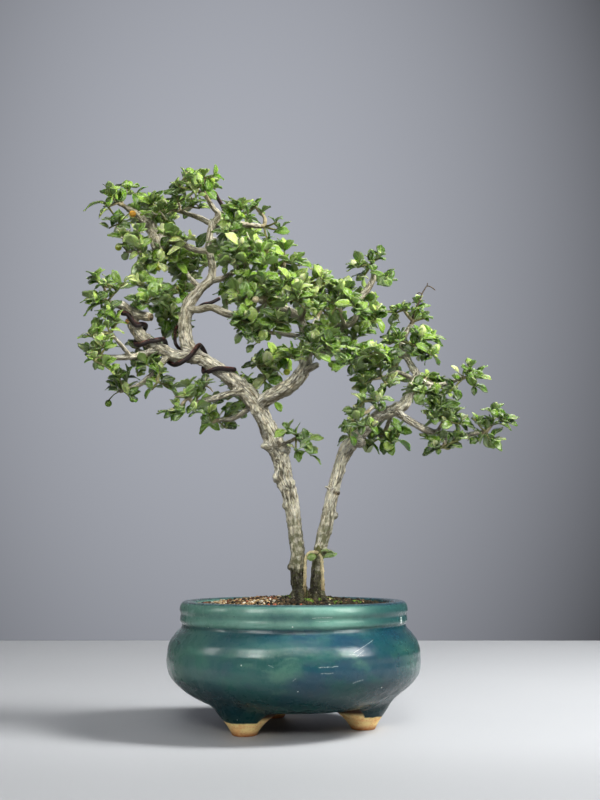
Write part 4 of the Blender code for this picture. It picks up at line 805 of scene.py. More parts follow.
@dataclass(frozen=True)
class Studio:
    """Plain matt surfaces for the floor, with painted shade towards its front, and for the wall far behind it,
    which shines with painted light.
    """

    floor: Colour = srgb(170, 173, 178)
    wall: Colour = srgb(169, 172, 181)
    bright_at: tuple[float, float] = (-214.0, 1107.0)
    fall: tuple[float, float] = (0.404, 0.172)
    front_shade: float = 0.15

    def floor_material(self) -> bpy.types.Material:
        """Makes the floor's material, a little darker towards the front as painted shade.

        Returns:
            The material.
        """
        g = Graph("pale_floor")
        here = g.place()
        shade = g.layered(self.floor, (g.mottle(here, 300, 2) * 0.05, WHITE),
                          (g.axes(here)[1].between(-60, -230) * self.front_shade, BLACK))
        return g.finish(Base_Color=shade, Roughness=0.6)

    def wall_material(self) -> bpy.types.Material:
        """Makes the wall's material, which shines with painted light, brightest at one place and darker away from
        it.

        Returns:
            The material.
        """
        g = Graph("soft_wall")
        x, _, z = g.axes(g.place())
        away_x, away_z = (x - self.bright_at[0]) / 1000, (z - self.bright_at[1]) / 1000
        away = away_x ** 2 * self.fall[0] + away_z ** 2 * self.fall[1]
        # Painted light: the wall shines brightest about bright_at
        shade = g.mix(g.sum_of("MINIMUM", away, 0.8), self.wall, BLACK)
        return g.finish(Base_Color=BLACK, Roughness=1.0, Specular_IOR_Level=0.0, Emission_Color=shade,
                        Emission_Strength=1.0)


class Slot(Enum):
    """The record's material slots, one named with each new piece; nothing here reads them."""

    GLAZE = "glaze"
    SOIL = "soil"
    BARK = "bark"
    WIRE = "wire"
    LEAVES = "leaves"


def linked(name: str, data: Any) -> bpy.types.Object:
    """Puts a new object in the scene.

    Args:
        name: its name.
        data: the mesh, light or camera that it is made of.

    Returns:
        The object.
    """
    made = bpy.data.objects.new(name, data)
    bpy.context.scene.collection.objects.link(made)
    return made


def values_of(rows: Any, key: str, width: int, kind: type = np.float32) -> np.ndarray:
    """One value of each row of a mesh's data.

    Args:
        rows: the mesh's points, corners or normals.
        key: the value's name.
        width: how many numbers it has.
        kind: what the numbers are kept as.

    Returns:
        The values, a row for each.
    """
    flat = np.empty(len(rows) * width, kind)
    rows.foreach_get(key, flat)
    return flat.reshape(-1, width)


class Shape:
    """A mesh being gathered in millimetres, with the values that its points carry."""

    def __init__(self) -> None:
        """Starts empty."""
        self.points: list[np.ndarray] = []
        self.corners: list[np.ndarray] = []
        self.sides: list[np.ndarray] = []
        self.smooth: list[np.ndarray] = []
        self.values: dict[str, list[np.ndarray]] = {}
        self.count = 0

    def add(self, points: np.ndarray, faces: Sequence[np.ndarray], smooth: Sequence[bool] | None = None,
            **values: np.ndarray) -> None:
        """Adds a piece.

        Args:
            points: its points.
            faces: arrays of faces, each with as many columns as its faces have corners.
            smooth: whether each of those arrays is shaded smooth; all are when left out.
            values: arrays with a row for each point, by attribute name.
        """
        for index, group in enumerate(faces):
            self.corners.append((group + self.count).ravel())
            self.sides.append(np.full(len(group), group.shape[1]))
            self.smooth.append(np.full(len(group), True if smooth is None else smooth[index]))
        self.points.append(points)
        for name, rows in values.items():
            self.values.setdefault(name, []).append(rows)
        self.count += len(points)

    def add_tube(self, run: np.ndarray, sides: int, colour: Colour, rounded: bool = True) -> None:
        """Adds a round tube in one colour about a run of X, Y, Z and radius."""
        points, faces = tube(run, sides, rounded)
        self.add(points, faces, tint=np.tile(colour, (len(points), 1)))

    def mesh(self, name: str, shift: Point = (0, 0, 0), scale: float = 1.0) -> bpy.types.Mesh:
        """The gathered mesh.

        Args:
            name: the mesh's name.
            shift: what is added to each point first.
            scale: what each point is then multiplied by.

        Returns:
            The mesh.
        """
        points = ((np.concatenate(self.points) + np.array(shift)) * scale).astype(np.float32)
        corners, sides = np.concatenate(self.corners), np.concatenate(self.sides)
        mesh = bpy.data.meshes.new(name)
        mesh.vertices.add(len(points))
        mesh.vertices.foreach_set("co", points.ravel())
        mesh.loops.add(len(corners))
        mesh.loops.foreach_set("vertex_index", corners.astype(np.int32))
        mesh.polygons.add(len(sides))
        mesh.polygons.foreach_set("loop_start", (np.cumsum(sides) - sides).astype(np.int32))
        mesh.polygons.foreach_set("use_smooth", np.concatenate(self.smooth))
        mesh.update(calc_edges=True)
        mesh.validate()
        for key, rows in self.values.items():
            wide = np.concatenate(rows).astype(np.float32)
            kind, field_name = ("FLOAT_COLOR", "color") if wide.shape[1] == 4 else ("FLOAT_VECTOR", "vector")
            mesh.attributes.new(key, kind, "POINT").data.foreach_set(field_name, wide.ravel())
        return mesh

    def place(self, name: str, material: bpy.types.Material, slot: Slot, *nodes: str) -> None:
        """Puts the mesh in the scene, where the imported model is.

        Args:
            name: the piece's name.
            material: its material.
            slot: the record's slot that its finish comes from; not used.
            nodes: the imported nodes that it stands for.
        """
        mesh = self.mesh(name, AXIS, MM)
        obj = linked(name, mesh)
        mesh.materials.append(material)
        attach(obj, BODY)
        if nodes:
            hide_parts(*nodes)
        LOG.info("%s: %d faces", name, len(mesh.polygons))


def pot_axis() -> Point:
    """The pot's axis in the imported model, in millimetres, as the shift from this script's own coordinates.

    Returns:
        X and Y of the axis, and Z of the feet's ends.
    """
    low, high = (np.array(corner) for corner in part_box("pot"))
    middle = (low + high) / 2 / MM
    return (float(middle[0]), float(middle[1]), float(low[2] / MM))


AXIS = pot_axis()
BODY = "root"


def smooth_run(path: Sequence[Knot], step: float) -> np.ndarray:
    """A smooth curve through points with a radius each.

    Args:
        path: the points.
        step: about how far apart its samples are.

    Returns:
        A row of X, Y, Z and radius for each sample.
    """
    knots = np.array(path, float)
    knots = np.vstack([2 * knots[0] - knots[1], knots, 2 * knots[-1] - knots[-2]])
    rows = []
    for a, b, c, d in zip(knots, knots[1:], knots[2:], knots[3:]):
        count = max(round(float(np.linalg.norm((c - b)[:3])) / step), 1)
        for t in np.arange(count) / count:
            bend, twist = 2 * a - 5 * b + 4 * c - d, 3 * b - a - 3 * c + d
            rows.append(0.5 * (2 * b + (c - a) * t + bend * t**2 + twist * t**3))
    rows.append(knots[-2])
    run = np.array(rows)
    run[:, 3] = np.maximum(run[:, 3], knots[1:-1, 3].min() * 0.9)
    return run


def carried_frames(run: np.ndarray) -> tuple[np.ndarray, np.ndarray, np.ndarray]:
    """The direction along a run at each sample, and two across it that turn as little as they can.

    Args:
        run: a row of X, Y, Z and radius for each sample.

    Returns:
        The three directions, with a row for each sample.
    """
    along = np.gradient(run[:, :3], axis=0)
    along /= np.linalg.norm(along, axis=1)[:, None] + 1e-9
    side = np.zeros_like(along)
    first = np.cross(along[0], (0, 0, 1) if abs(along[0][2]) < 0.9 else (1, 0, 0))
    side[0] = first / np.linalg.norm(first)
    for i in range(1, len(run)):
        turned = side[i - 1] - along[i] * np.dot(side[i - 1], along[i])
        side[i] = turned / (np.linalg.norm(turned) + 1e-9)
    return along, side, np.cross(along, side)


def ring_faces(rings: int, sides: int, closed: bool = False) -> np.ndarray:
    """The faces between rings of points.

    Args:
        rings: how many rings there are.
        sides: how many points each has.
        closed: whether the last ring joins the first.

    Returns:
        The faces, each with four corners.
    """
    i, j = np.meshgrid(np.arange(rings if closed else rings - 1), np.arange(sides), indexing="ij")
    here, below, after = i * sides, (i + 1) % rings * sides, (j + 1) % sides
    return np.stack([here + j, here + after, below + after, below + j], -1).reshape(-1, 4)


def tube(run: np.ndarray, sides: int, rounded: bool = True) -> tuple[np.ndarray, list[np.ndarray]]:
    """A round tube about a run, closed at both ends.

    Args:
        run: a row of X, Y, Z and radius for each sample.
        sides: how many sides it has.
        rounded: whether its ends are domed.

    Returns:
        Its points and its faces.
    """
    along, side, other = carried_frames(run)
    if rounded:
        head, tail = run[0].copy(), run[-1].copy()
        head[:3] -= along[0] * head[3] * 0.45
        tail[:3] += along[-1] * tail[3] * 0.45
        head[3], tail[3] = head[3] * 0.7, tail[3] * 0.7
        run = np.vstack([head, run, tail])
        side, other = (np.vstack([v[:1], v, v[-1:]]) for v in (side, other))
    turns = np.arange(sides) * math.tau / sides
    ring = side[:, None] * np.cos(turns)[None, :, None] + other[:, None] * np.sin(turns)[None, :, None]
    points = (run[:, None, :3] + ring * run[:, None, 3:]).reshape(-1, 3)
    caps = np.array([np.arange(sides)[::-1], np.arange(sides) + (len(run) - 1) * sides])
    return points, [ring_faces(len(run), sides), caps]


def turned(section: np.ndarray, steps: int, closed: bool = False) -> tuple[np.ndarray, np.ndarray]:
    """A section of radii and heights turned about the pot's axis.

    Args:
        section: a row of radius and height for each point, from the top down on the outside.
        steps: how many steps make a whole turn.
        closed: whether the section's last point joins its first.

    Returns:
        The points, with a row of them for each point of the section, and the faces.
    """
    turns, radii = np.arange(steps) * math.tau / steps, section[:, None, 0]
    points = np.stack([radii * np.cos(turns), radii * np.sin(turns), np.repeat(section[:, 1:], steps, 1)], -1)
    return points, ring_faces(len(section), steps, closed)[:, [0, 3, 2, 1]]


def soil_height(radius: float) -> float:
    """The soil's height at a distance from the pot's axis."""
    return float(np.interp(radius, *zip(*SOIL_TOP)))


@dataclass
class Wood:
    """Both trunks with their limbs, stubs and surface roots, fused and given bark."""

    finish: bpy.types.Material
    grain_mm: float = 0.9
    stretch: float = 0.34
    relief: float = 0.1
    limb_sides: int = 20
    burr_sides: int = 16
    run_gap: float = 37.0
    roots: dict[str, list[Knot]] = field(default_factory=lambda: {
        "left": [(3, -4, 104, 3.8), (0, -9, 101, 2.9), (-1, -17, 98.8, 2.3), (-3, -28, 97.8, 1.8),
                 (-6, -40, 96.6, 1.3)],
        "front": [(6, -6, 107, 3.6), (5, -13, 102.5, 3.0), (5, -22, 99.8, 2.6), (6, -34, 98.6, 2.0),
                  (3, -46, 96.6, 1.2)],
        "joined": [(6, -4, 101.5, 4.4), (12, -6, 100, 3.6), (18, -5, 101.5, 4.4)],
        "right": [(20, -7, 106, 3.8), (22, -13, 102, 3.0), (23, -22, 99.6, 2.4), (25, -33, 98.4, 1.9),
                  (28, -44, 96.6, 1.1)],
        "rear": [(14, 2, 102, 3.8), (16, 8, 100, 2.8), (20, 14, 98, 1.5)],
        "far_left": [(2, 2, 102, 3.6), (-2, 7, 100, 2.5), (-5, 12, 98, 1.4)],
        "near_right": [(18, -8, 104, 3.0), (17, -15, 100.6, 2.4), (17, -26, 98.8, 2.0), (18, -38, 97.4, 1.3)],
    })
    burrs: tuple[Knot, ...] = (
        (-19, 3, 222, 6.2), (-8, 3, 218.5, 5.6), (-12.5, 1, 196, 4.6), (-3, 0, 190, 4.4), (-5.5, 1, 173, 3.8),
        (32.5, 0, 165, 3.4), (34.5, -3, 185, 2.6), (28, -1, 172, 3.4), (20, -5, 139, 3.6), (-1.5, -1, 124, 3.2),
        (6, -4, 112, 3.8), (22, -5, 110, 3.0), (-31, -3, 250, 4.6), (-42, 0, 272, 4.6), (-90, -2, 311, 3.8),
        (-92, 2, 322, 4.0), (-70, 10, 381, 2.8), (-66, 12, 396, 2.6), (70, 0, 249, 3.8), (96, -3, 270, 3.6),
        (-124, 26, 414, 4.6), (-112, 22, 392, 5.2), (9, -14, 297, 3.9), (48, 3, 228, 4.2), (84, -2, 253, 4.4),
        (-104, -14, 299, 3.6), (10, -16, 311, 3.2), (-63, -5, 287, 3.8),
    )
    runs: list[np.ndarray] = field(default_factory=list)

    def rough_mesh(self) -> bpy.types.Mesh:
        """The fused tubes of every limb, evened out.

        Returns:
            A mesh of even squares.
        """
        shape = Shape()
        flares = [[(x, y, low, radius * 0.98), (x, y, high - 6, radius), (x, y, high - 1, radius * 0.86),
                   (x, y, high + 5, radius * 0.62)] for x, y, low, high, radius in FLARES]
        for path in [*flares, *LIMBS.values(), *self.roots.values()]:
            self.runs.append(smooth_run(path, 1.0))
            shape.add(*tube(self.runs[-1], self.limb_sides))
        for x, y, z, radius in self.burrs:
            heights = (-0.95, -0.6, 0, 0.6, 0.95)
            lump = [(x, y, z + radius * s, radius * math.cos(math.asin(s)) + 0.05) for s in heights]
            shape.add(*tube(smooth_run(lump, 1.0), self.burr_sides, rounded=False))
        obj = linked("fused", shape.mesh("fused"))
        remesh = obj.modifiers.new("fuse", "REMESH")
        remesh.mode, remesh.voxel_size = "VOXEL", self.grain_mm
        even = obj.modifiers.new("even", "SMOOTH")
        even.factor, even.iterations = 0.5, 3
        bpy.context.view_layer.update()
        mesh = bpy.data.meshes.new_from_object(obj.evaluated_get(bpy.context.evaluated_depsgraph_get()))
        bpy.data.objects.remove(obj)
        return mesh

    def nearest(self, points: np.ndarray) -> tuple[np.ndarray, np.ndarray]:
        """Where each point lies on its limb.

        Args:
            points: points on the bark.

        Returns:
            Each point's place in the grain, which runs along the limb, and the limb's radius there.
        """
        rows, frames = [], []
        for index, run in enumerate(self.runs):
            _, side, other = carried_frames(run)
            steps = np.linalg.norm(np.diff(run[:, :3], axis=0), axis=1)
            travelled = np.concatenate([[0], np.cumsum(steps)]) + self.run_gap * index
            rows.append(np.column_stack([run, travelled]))
            frames.append(np.stack([side, other], 1))
        samples, across = np.concatenate(rows), np.concatenate(frames)
        tree = KDTree(len(samples))
        for i, row in enumerate(samples):
            tree.insert(row[:3], i)
        tree.balance()
        best = np.empty(len(points), int)
        for i, point in enumerate(points):
            best[i] = min(tree.find_n(point, 8), key=lambda hit: hit[2] - samples[hit[1], 3])[1]
        out = points - samples[best, :3]
        flat = np.einsum("nij,nj->ni", across[best], out)
        flat /= np.linalg.norm(flat, axis=1)[:, None] + 1e-6
        radius = samples[best, 3]
        return np.column_stack([flat * radius[:, None], samples[best, 4] * self.stretch]), radius

    def build(self) -> None:
        """Makes the wood."""
        mesh = self.rough_mesh()
        points = values_of(mesh.vertices, "co", 3).astype(float)
        normals = values_of(mesh.vertex_normals, "vector", 3)
        corners = values_of(mesh.loops, "vertex_index", 1, np.int32).reshape(-1, 4)
        bpy.data.meshes.remove(mesh)
        grain, radius = self.nearest(points)
        lift = np.empty(len(points))
        for i, (at, place) in enumerate(zip(grain, points)):
            ridge = abs(noise.noise(Vector(at) * 0.42))
            lump = noise.noise(Vector(place) * 0.14)
            knob = noise.noise(Vector(place) * 0.33 + Vector((5, 1, 7)))
            burr = max(noise.noise(Vector(place) * 0.31 + Vector((9, 4, 2))) - 0.3, 0.0)
            lift[i] = -max(0.0, 1 - ridge / 0.16) * 0.9 + lump * 1.3 + knob * 0.7 + burr * 3.0 + 0.2
        points += normals * (lift * np.minimum(self.relief * radius, 0.7))[:, None]
        shape = Shape()
        shape.add(points, [corners], grain=grain)
        shape.place("bark", self.finish, Slot.BARK, "wood")


@dataclass
class CutEnds:
    """The sawn and broken faces of four pruned stubs, ringed and darkened."""

    finish: bpy.types.Material
    sides: int = 18
    ring: Colour = srgb(168, 150, 118)
    # Each face: its middle, the way it faces, its radius and its colour
    faces: tuple[tuple[Point, Point, float, Colour], ...] = (
        ((-113.3, -31.9, 320.5), (0.89, -0.42, -0.2), 3.0, srgb(44, 38, 32)),
        ((35.4, -3.4, 182.8), (0.62, -0.76, 0.1), 2.1, srgb(60, 48, 32)),
        ((-110.0, 16.2, 386.5), (0.3, -0.94, -0.1), 2.6, srgb(122, 108, 84)),
        ((-133.0, -27.5, 318.0), (-0.6, -0.75, -0.2), 2.2, srgb(214, 150, 84)),
    )
    # The disc's section: how far out along its axis, and its share of the radius there
    section: tuple[tuple[float, float], ...] = ((-1.2, 1), (0.25, 1), (0.4, 0.86), (0.1, 0.6))

    def build(self) -> None:
        """Makes the discs."""
        shape = Shape()
        for middle, facing, radius, colour in self.faces:
            axis = np.array(facing) / np.linalg.norm(facing)
            run = np.array([[*(np.array(middle) + axis * out), radius * share] for out, share in self.section])
            points, faces = tube(run, self.sides, rounded=False)
            tints = np.tile(colour, (len(points), 1))
            tints[:2 * self.sides] = self.ring
            shape.add(points, faces, [True, False], tint=tints)
        shape.place("cut_ends", self.finish, Slot.BARK)


class Form(Enum):
    """The outline of a leaf: places along it, and its share of the leaf's width at each."""

    YOUNG = ((0, 0.08, 0.2, 0.42, 0.62, 0.8, 0.93, 1), (0.05, 0.1, 0.48, 0.92, 1.0, 0.86, 0.56, 0.2))
    GROWN = ((0, 0.08, 0.2, 0.42, 0.64, 0.8, 0.92, 1), (0.05, 0.09, 0.42, 0.9, 1.0, 0.9, 0.64, 0.34))


@dataclass(frozen=True)
class Leaf:
    """Where one leaf grows, how it faces, its size, and how light it is: 0 is dark, 0.9 yellow green."""

    base: Vector
    direction: Vector
    normal: Vector
    length: float
    width: float
    tone: float
    wave: float = 0.0
    curl: float = 0.1
    young_under: float = 11.5

    @property
    def form(self) -> Form:
        """Its outline, by its length."""
        return Form.GROWN if self.length > self.young_under else Form.YOUNG


def square_to(direction: Vector, up: Vector) -> Vector:
    """The part of up that is square to a direction."""
    return (up - direction * up.dot(direction)).normalized()


def off_axis(axis: Vector, turn: float) -> Vector:
    """The direction square to an axis at a turn round it."""
    side = axis.orthogonal().normalized()
    return side * math.cos(turn) + axis.cross(side) * math.sin(turn)


@dataclass(frozen=True)
class Blade:
    """A leaf's outline and relief, laid on a grid of rows along it and columns across it."""

    rows: int = 7
    columns: int = 5
    thick: float = 0.3
    tooth: float = 0.08

    def grid(self) -> tuple[np.ndarray, np.ndarray]:
        """How far along and how far across each point of the grid lies.

        Returns:
            The shares along, from 0 to 1, and those across, from -1 to 1.
        """
        s = (np.arange(self.rows) / (self.rows - 1)) ** 0.9
        t = np.linspace(-1, 1, self.columns)
        return np.repeat(s, self.columns), np.tile(t, self.rows)

    def faces(self) -> list[np.ndarray]:
        """The faces of both sides of the blade, and those of its rim.

        Returns:
            The two arrays of faces.
        """
        r, c = self.rows, self.columns
        i, j = np.meshgrid(np.arange(r - 1), np.arange(c - 1), indexing="ij")
        a = (i * c + j).ravel()
        top = np.stack([a, a + 1, a + c + 1, a + c], 1)
        back = top[:, ::-1] + r * c
        edge = np.array([*range(c), *(k * c + c - 1 for k in range(1, r)), *range(r * c - 2, (r - 1) * c - 1, -1),
                         *(k * c for k in range(r - 2, 0, -1))])
        after = np.roll(edge, -1)
        rim = np.stack([after, edge, edge + r * c, after + r * c], 1)
        return [np.concatenate([top, back]), rim]

    def points(self, leaf: Leaf) -> np.ndarray:
        """The points of one leaf.

        Args:
            leaf: the leaf.

        Returns:
            The points of the upper side, then those of the back.
        """
        s, t = self.grid()
        direction, normal = np.array(leaf.direction), np.array(leaf.normal)
        notch = np.where(np.abs(t) > 0.9, 1 - self.tooth, 1.0) if leaf.form is Form.GROWN else 1.0
        reach = s * (1 - (1 - notch) * s**4) * leaf.length
        cup = 0.1 * np.abs(t) ** 1.3 * np.sin(np.pi * np.minimum(s * 1.05, 1))
        arch = 0.09 * np.sin(np.pi * s**0.8) - leaf.curl * s**2.2
        ripple = 0.03 * leaf.wave * t * np.cos(s * 9) + 0.02 * np.abs(t) * np.sin(s * 11 + leaf.wave * 3)
        height = (cup + arch + ripple * (s > 0.1)) * leaf.length
        half = t * np.interp(s, *leaf.form.value) * leaf.width / 2
        sheet = (np.array(leaf.base) + np.outer(reach, direction) + np.outer(height, normal)
                 + np.outer(half, np.cross(direction, normal)))
        return np.concatenate([sheet + normal * self.thick / 2, sheet - normal * self.thick / 2])


@dataclass
class Spray:
    """A leafy spray: a forked twig from the end of a limb or spur, with leaves and berries.

    Its first two nodes are the limb's end and the fork's start, then come its tufts, and then further shoots.
    """

    name: str
    tufts: list[Point]
    blade: Blade = Blade()
    young_blade: Blade = Blade(5, 3)
    full_over: float = 11.5
    leaf_length: tuple[float, float] = (9.5, 16.0)
    leaf_width: tuple[float, float] = (0.56, 0.70)
    twig_radius: float = 1.9
    tip_radius: float = 0.65
    lead: float = 3.5
    turn: float = math.radians(137.5)
    tries: int = 3
    spacing: float = 4.4
    middle_x: float = 5.0
    bare: tuple[str, ...] = ("trunk", "foot_leaf", "roof")
    single: tuple[str, ...] = ("foot_leaf",)
    thinned: tuple[str, ...] = ("tower", "roof", "arm", "tuft_top", "right_end", "crown", "left_end", "claw", "fan",
                                "droop", "droop_mid", "elbow", "tip_left", "far_right", "front_low")
    shoots: dict[str, int] = field(default_factory=lambda: {
        "crown": 7, "shelf": 7, "tip_left": 2, "hang": 6, "eaves": 10, "spire": 1, "leader_left": 14,
        "cheek": 8, "inner": 15, "brow": 10, "back_mid": 5, "shelf_low": 9, "left_top": 6, "nook": 9,
        "belly": 8, "pocket": 2, "pocket_left": 9, "collar": 5, "collar_back": 6, "cheek_right": 7, "cheek_low": 8,
        "tower_mid": 5, "shelf_mid": 12, "back_top": 7, "knot_top": 4, "elbow": 2, "elbow_back": 4, "arm_low": 3,
        "back_low": 1, "far_low": 2, "left_mid": 5, "left_end": 5, "right_pad": 1, "far_right": 2, "shoulder": 2,
    })
    dead: dict[str, int] = field(default_factory=lambda: {
        "hang": 20, "shelf": 14, "nook": 8, "shelf_mid": 16, "eaves": 7, "leader_left": 10, "front_low": 4,
        "cheek": 4,
    })
    old_twig: Colour = srgb(158, 148, 116)
    young_twig: Colour = srgb(122, 124, 74)
    leaf_stalk: Colour = srgb(122, 130, 74)
    dead_twigs: tuple[Colour, ...] = (srgb(222, 216, 196), srgb(184, 176, 152), srgb(150, 138, 112))
    berry_radius: float = 2.9
    berry_stalk: Colour = srgb(104, 118, 56)
    berry_cup: Colour = srgb(92, 112, 48)
    berry_green: Colour = srgb(104, 134, 46)
    berry_tints: dict[str, Colour] = field(default_factory=lambda: {
        "tip_left": srgb(224, 164, 52), "hang": srgb(166, 178, 50), "crown": srgb(146, 176, 70),
        "cheek": srgb(202, 190, 154), "belly": srgb(158, 168, 56),
    })
    nodes: list[Vector] = field(default_factory=list)
    parents: list[int] = field(default_factory=list)
    load: list[int] = field(default_factory=list)

    def __post_init__(self) -> None:
        """Works out the fork that reaches each tuft, and adds the further shoots."""
        path = LIMBS[self.name]
        end, before = Vector(path[-1][:3]), Vector(path[-2][:3])
        way = (end - before).normalized()
        self.twig_radius = min(path[-1][3], self.twig_radius)
        self.nodes = [end + way * 0.3, end + way * self.lead] + [Vector(tuft) for tuft in self.tufts]
        self.parents = [-1, 0]
        for i, place in enumerate(self.nodes[2:], 2):
            reach = [(place - node).length + 0.25 * (node - self.nodes[0]).length for node in self.nodes[1:i]]
            self.parents.append(1 + reach.index(min(reach)))
        self.load = [1] * len(self.nodes)
        for i in range(len(self.nodes) - 1, 0, -1):
            self.load[self.parents[i]] += self.load[i]
        self.branch_out()

    def branch_out(self) -> None:
        """Adds shoots from the tufts, each where there is most room, within the height and width of the tufts."""
        top = max(tuft[2] for tuft in self.tufts) - 1
        wide = max(abs(tuft[0] - self.middle_x) for tuft in self.tufts) - 1
        draw = random.Random(f"{self.name} shoots")
        for _ in range(self.shoots.get(self.name, 0)):
            choices = []
            for _ in range(5):
                parent = draw.randrange(2, len(self.tufts) + 2)
                way = Vector((draw.gauss(0, 1), draw.gauss(0, 1) - 0.35, draw.gauss(0, 1) + 0.1)).normalized()
                place = self.nodes[parent] + way * draw.uniform(7, 12)
                place.z = min(place.z, top)
                place.x = self.middle_x + max(-wide, min(wide, place.x - self.middle_x))
                choices.append((min((place - node).length for node in self.nodes), parent, place))
            _, parent, place = max(choices, key=lambda choice: choice[0])
            self.nodes.append(place)
            self.parents.append(parent)
            self.load.append(1)

    def reach(self, i: int) -> Vector:
        """The way from a node's parent to it."""
        return self.nodes[i] - self.nodes[self.parents[i]]

    def thickness(self, i: int) -> float:
        """The twig's radius at a node, by the share of the spray that it carries.

        Args:
            i: the node.

        Returns:
            The radius.
        """
        if i < 2:
            return self.twig_radius
        return max(self.tip_radius, self.twig_radius * (self.load[i] / self.load[1]) ** 0.5)

    def fork(self, shape: Shape, draw: random.Random) -> None:
        """Adds the forked twig.

        Args:
            shape: what it is added to.
            draw: the draws for its bends.
        """
        for i in range(1, len(self.nodes)):
            start, end, span = self.nodes[self.parents[i]], self.nodes[i], self.reach(i).length
            bend = Vector((draw.gauss(0, 1), draw.gauss(0, 1), draw.gauss(0, 0.6))) * span * 0.05
            near, far = self.thickness(self.parents[i]), self.thickness(i)
            near = min(near, far * 1.5) if i > 1 else near
            knots = [(*start, near), (*(start.lerp(end, 0.5) + bend), (near + far) / 2), (*end, far)]
            if i == 1:
                knots = [(*(start - self.reach(i).normalized() * 4), near * 0.9)] + knots
            shape.add_tube(smooth_run(knots, 2.2), 7, self.old_twig if far > 0.9 else self.young_twig)

    def stalks(self, shape: Shape, draw: random.Random) -> None:
        """Adds a stalk to each leaf that stands out, from the nearest node.

        Args:
            shape: what they are added to.
            draw: the draws that those leaves take.
        """
        for leaf in self.lone(draw):
            node = min(self.nodes[1:], key=lambda knot: (knot - leaf.base).length)
            if (node - leaf.base).length > 0.8:
                middle = node.lerp(leaf.base, 0.5) + Vector((0, 0, 0.6))
                knots = [(*node, 0.55), (*middle, 0.5), (*(leaf.base + leaf.direction), 0.4)]
                shape.add_tube(smooth_run(knots, 1.5), 6, self.leaf_stalk)

    def dead_wood(self, shape: Shape, draw: random.Random) -> None:
        """Adds the bare dead twigs.

        Args:
            shape: what they are added to.
            draw: the draws for them.
        """
        for _ in range(self.dead.get(self.name, 0)):
            start = self.nodes[draw.randrange(1, len(self.tufts) + 2)]
            way = Vector((draw.gauss(0, 1), draw.gauss(0, 0.7) - 0.9, draw.gauss(0, 0.8))).normalized()
            middle = start + way * draw.uniform(5, 8)
            onward = (way + Vector((draw.gauss(0, 0.5), 0, draw.gauss(0, 0.5)))).normalized()
            end = middle + onward * draw.uniform(3, 6)
            knots = [(*start, 0.8), (*middle, 0.65), (*end, 0.4)]
            shape.add_tube(smooth_run(knots, 1.5), 6, draw.choice(self.dead_twigs))

    def drawn(self, i: int, tone: random.Random) -> list[Leaf]:
        """The first leaves of one tuft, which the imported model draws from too.

        Args:
            i: the tuft's node.
            tone: draws how light they are.

        Returns:
            The leaves.
        """
        draw = random.Random(f"{self.name} {i}")
        way = self.reach(i).normalized()
        axis = (way * 0.8 + Vector((0, 0, 0.6))).normalized()
        turn = draw.uniform(0, math.tau)
        size = 0.8 if self.name in self.thinned else 0.9
        found = []
        for k in range(self.tries):
            upright = k == 0 and self.load[i] == 1
            lean = math.radians(draw.uniform(15, 40) if upright else draw.uniform(48, 88))
            direction = axis * math.cos(lean) + off_axis(axis, turn + self.turn * k) * math.sin(lean)
            up = Vector((draw.gauss(0, 0.35), draw.gauss(0, 0.35) - 0.25, 1))
            length = draw.uniform(*self.leaf_length)
            width = length * draw.uniform(*self.leaf_width)
            wave = draw.uniform(-1, 1)
            direction.z += 0.3 if direction.z < 0 else 0.08
            direction.normalize()
            normal = square_to(direction, up + axis * 0.2 - Vector((0, 0.25, 0)))
            found.append(Leaf(self.nodes[i] - way * min(0.9 * k, 4), direction, normal, length * size, width * size,
                              tone.gauss(0.32, 0.19), wave, tone.uniform(-0.05, 0.15)))
        return found[:1] if self.name in self.single else found

    def rosette(self, i: int, draw: random.Random) -> list[Leaf]:
        """The young leaves in a tuft's middle and the smaller ones round them, turned up to the light.

        Args:
            i: the tuft's node.
            draw: the draws for it.

        Returns:
            The leaves.
        """
        thinned = self.name in self.thinned
        way = self.reach(i).normalized()
        axis = (way * 0.7 + Vector((draw.gauss(0, 0.25), draw.gauss(0, 0.25), 0.8))).normalized()
        turn = draw.uniform(0, math.tau)
        count = 3 if thinned else draw.choice((3, 4, 4, 5))
        found = []
        for k in range(count):
            age = k / (count - 1)
            lean = math.radians(14 + 58 * age + draw.gauss(0, 9))
            out = off_axis(axis, turn + self.turn * k)
            direction = (axis * math.cos(lean) + out * math.sin(lean) + Vector((0, 0, 0.12))).normalized()
            up = Vector((draw.gauss(0, 0.5), draw.gauss(0, 0.5) - 0.55, 0.65)) + axis * 0.35
            length = (7.2 + 7.6 * age + draw.uniform(-1, 2)) * (0.85 if thinned else 1)
            found.append(Leaf(self.nodes[i] + way * (0.9 - 3.2 * age), direction, square_to(direction, up), length,
                              length * draw.uniform(0.5, 0.7), draw.gauss(0.33, 0.19) + 0.36 * (1 - age) ** 2,
                              draw.uniform(-1, 1), draw.uniform(-0.08, 0.13)))
        return found

    def along(self, i: int, draw: random.Random) -> list[Leaf]:
        """The single leaves along the twig that ends at a node.

        Args:
            i: the node.
            draw: the draws for them.

        Returns:
            The leaves.
        """
        start, span = self.nodes[self.parents[i]], self.reach(i).length
        way = self.reach(i).normalized()
        found = []
        turn = draw.uniform(0, math.tau)
        for along in np.arange(2.5, span - 2.5, self.spacing * (1.8 if self.name in self.thinned else 1)):
            turn += self.turn
            lean = math.radians(draw.uniform(38, 78))
            out = off_axis(way, turn) + Vector((0, 0, 0.45))
            direction = (way * math.cos(lean) + out.normalized() * math.sin(lean)).normalized()
            up = Vector((draw.gauss(0, 0.55), draw.gauss(0, 0.55) - 0.5, 0.8))
            length = draw.uniform(9.0, 15.5)
            base = start + way * (along + draw.uniform(-1, 1))
            found.append(Leaf(base, direction, square_to(direction, up), length, length * draw.uniform(0.52, 0.7),
                              draw.gauss(0.28, 0.19), draw.uniform(-1, 1), draw.uniform(-0.08, 0.13)))
        return found

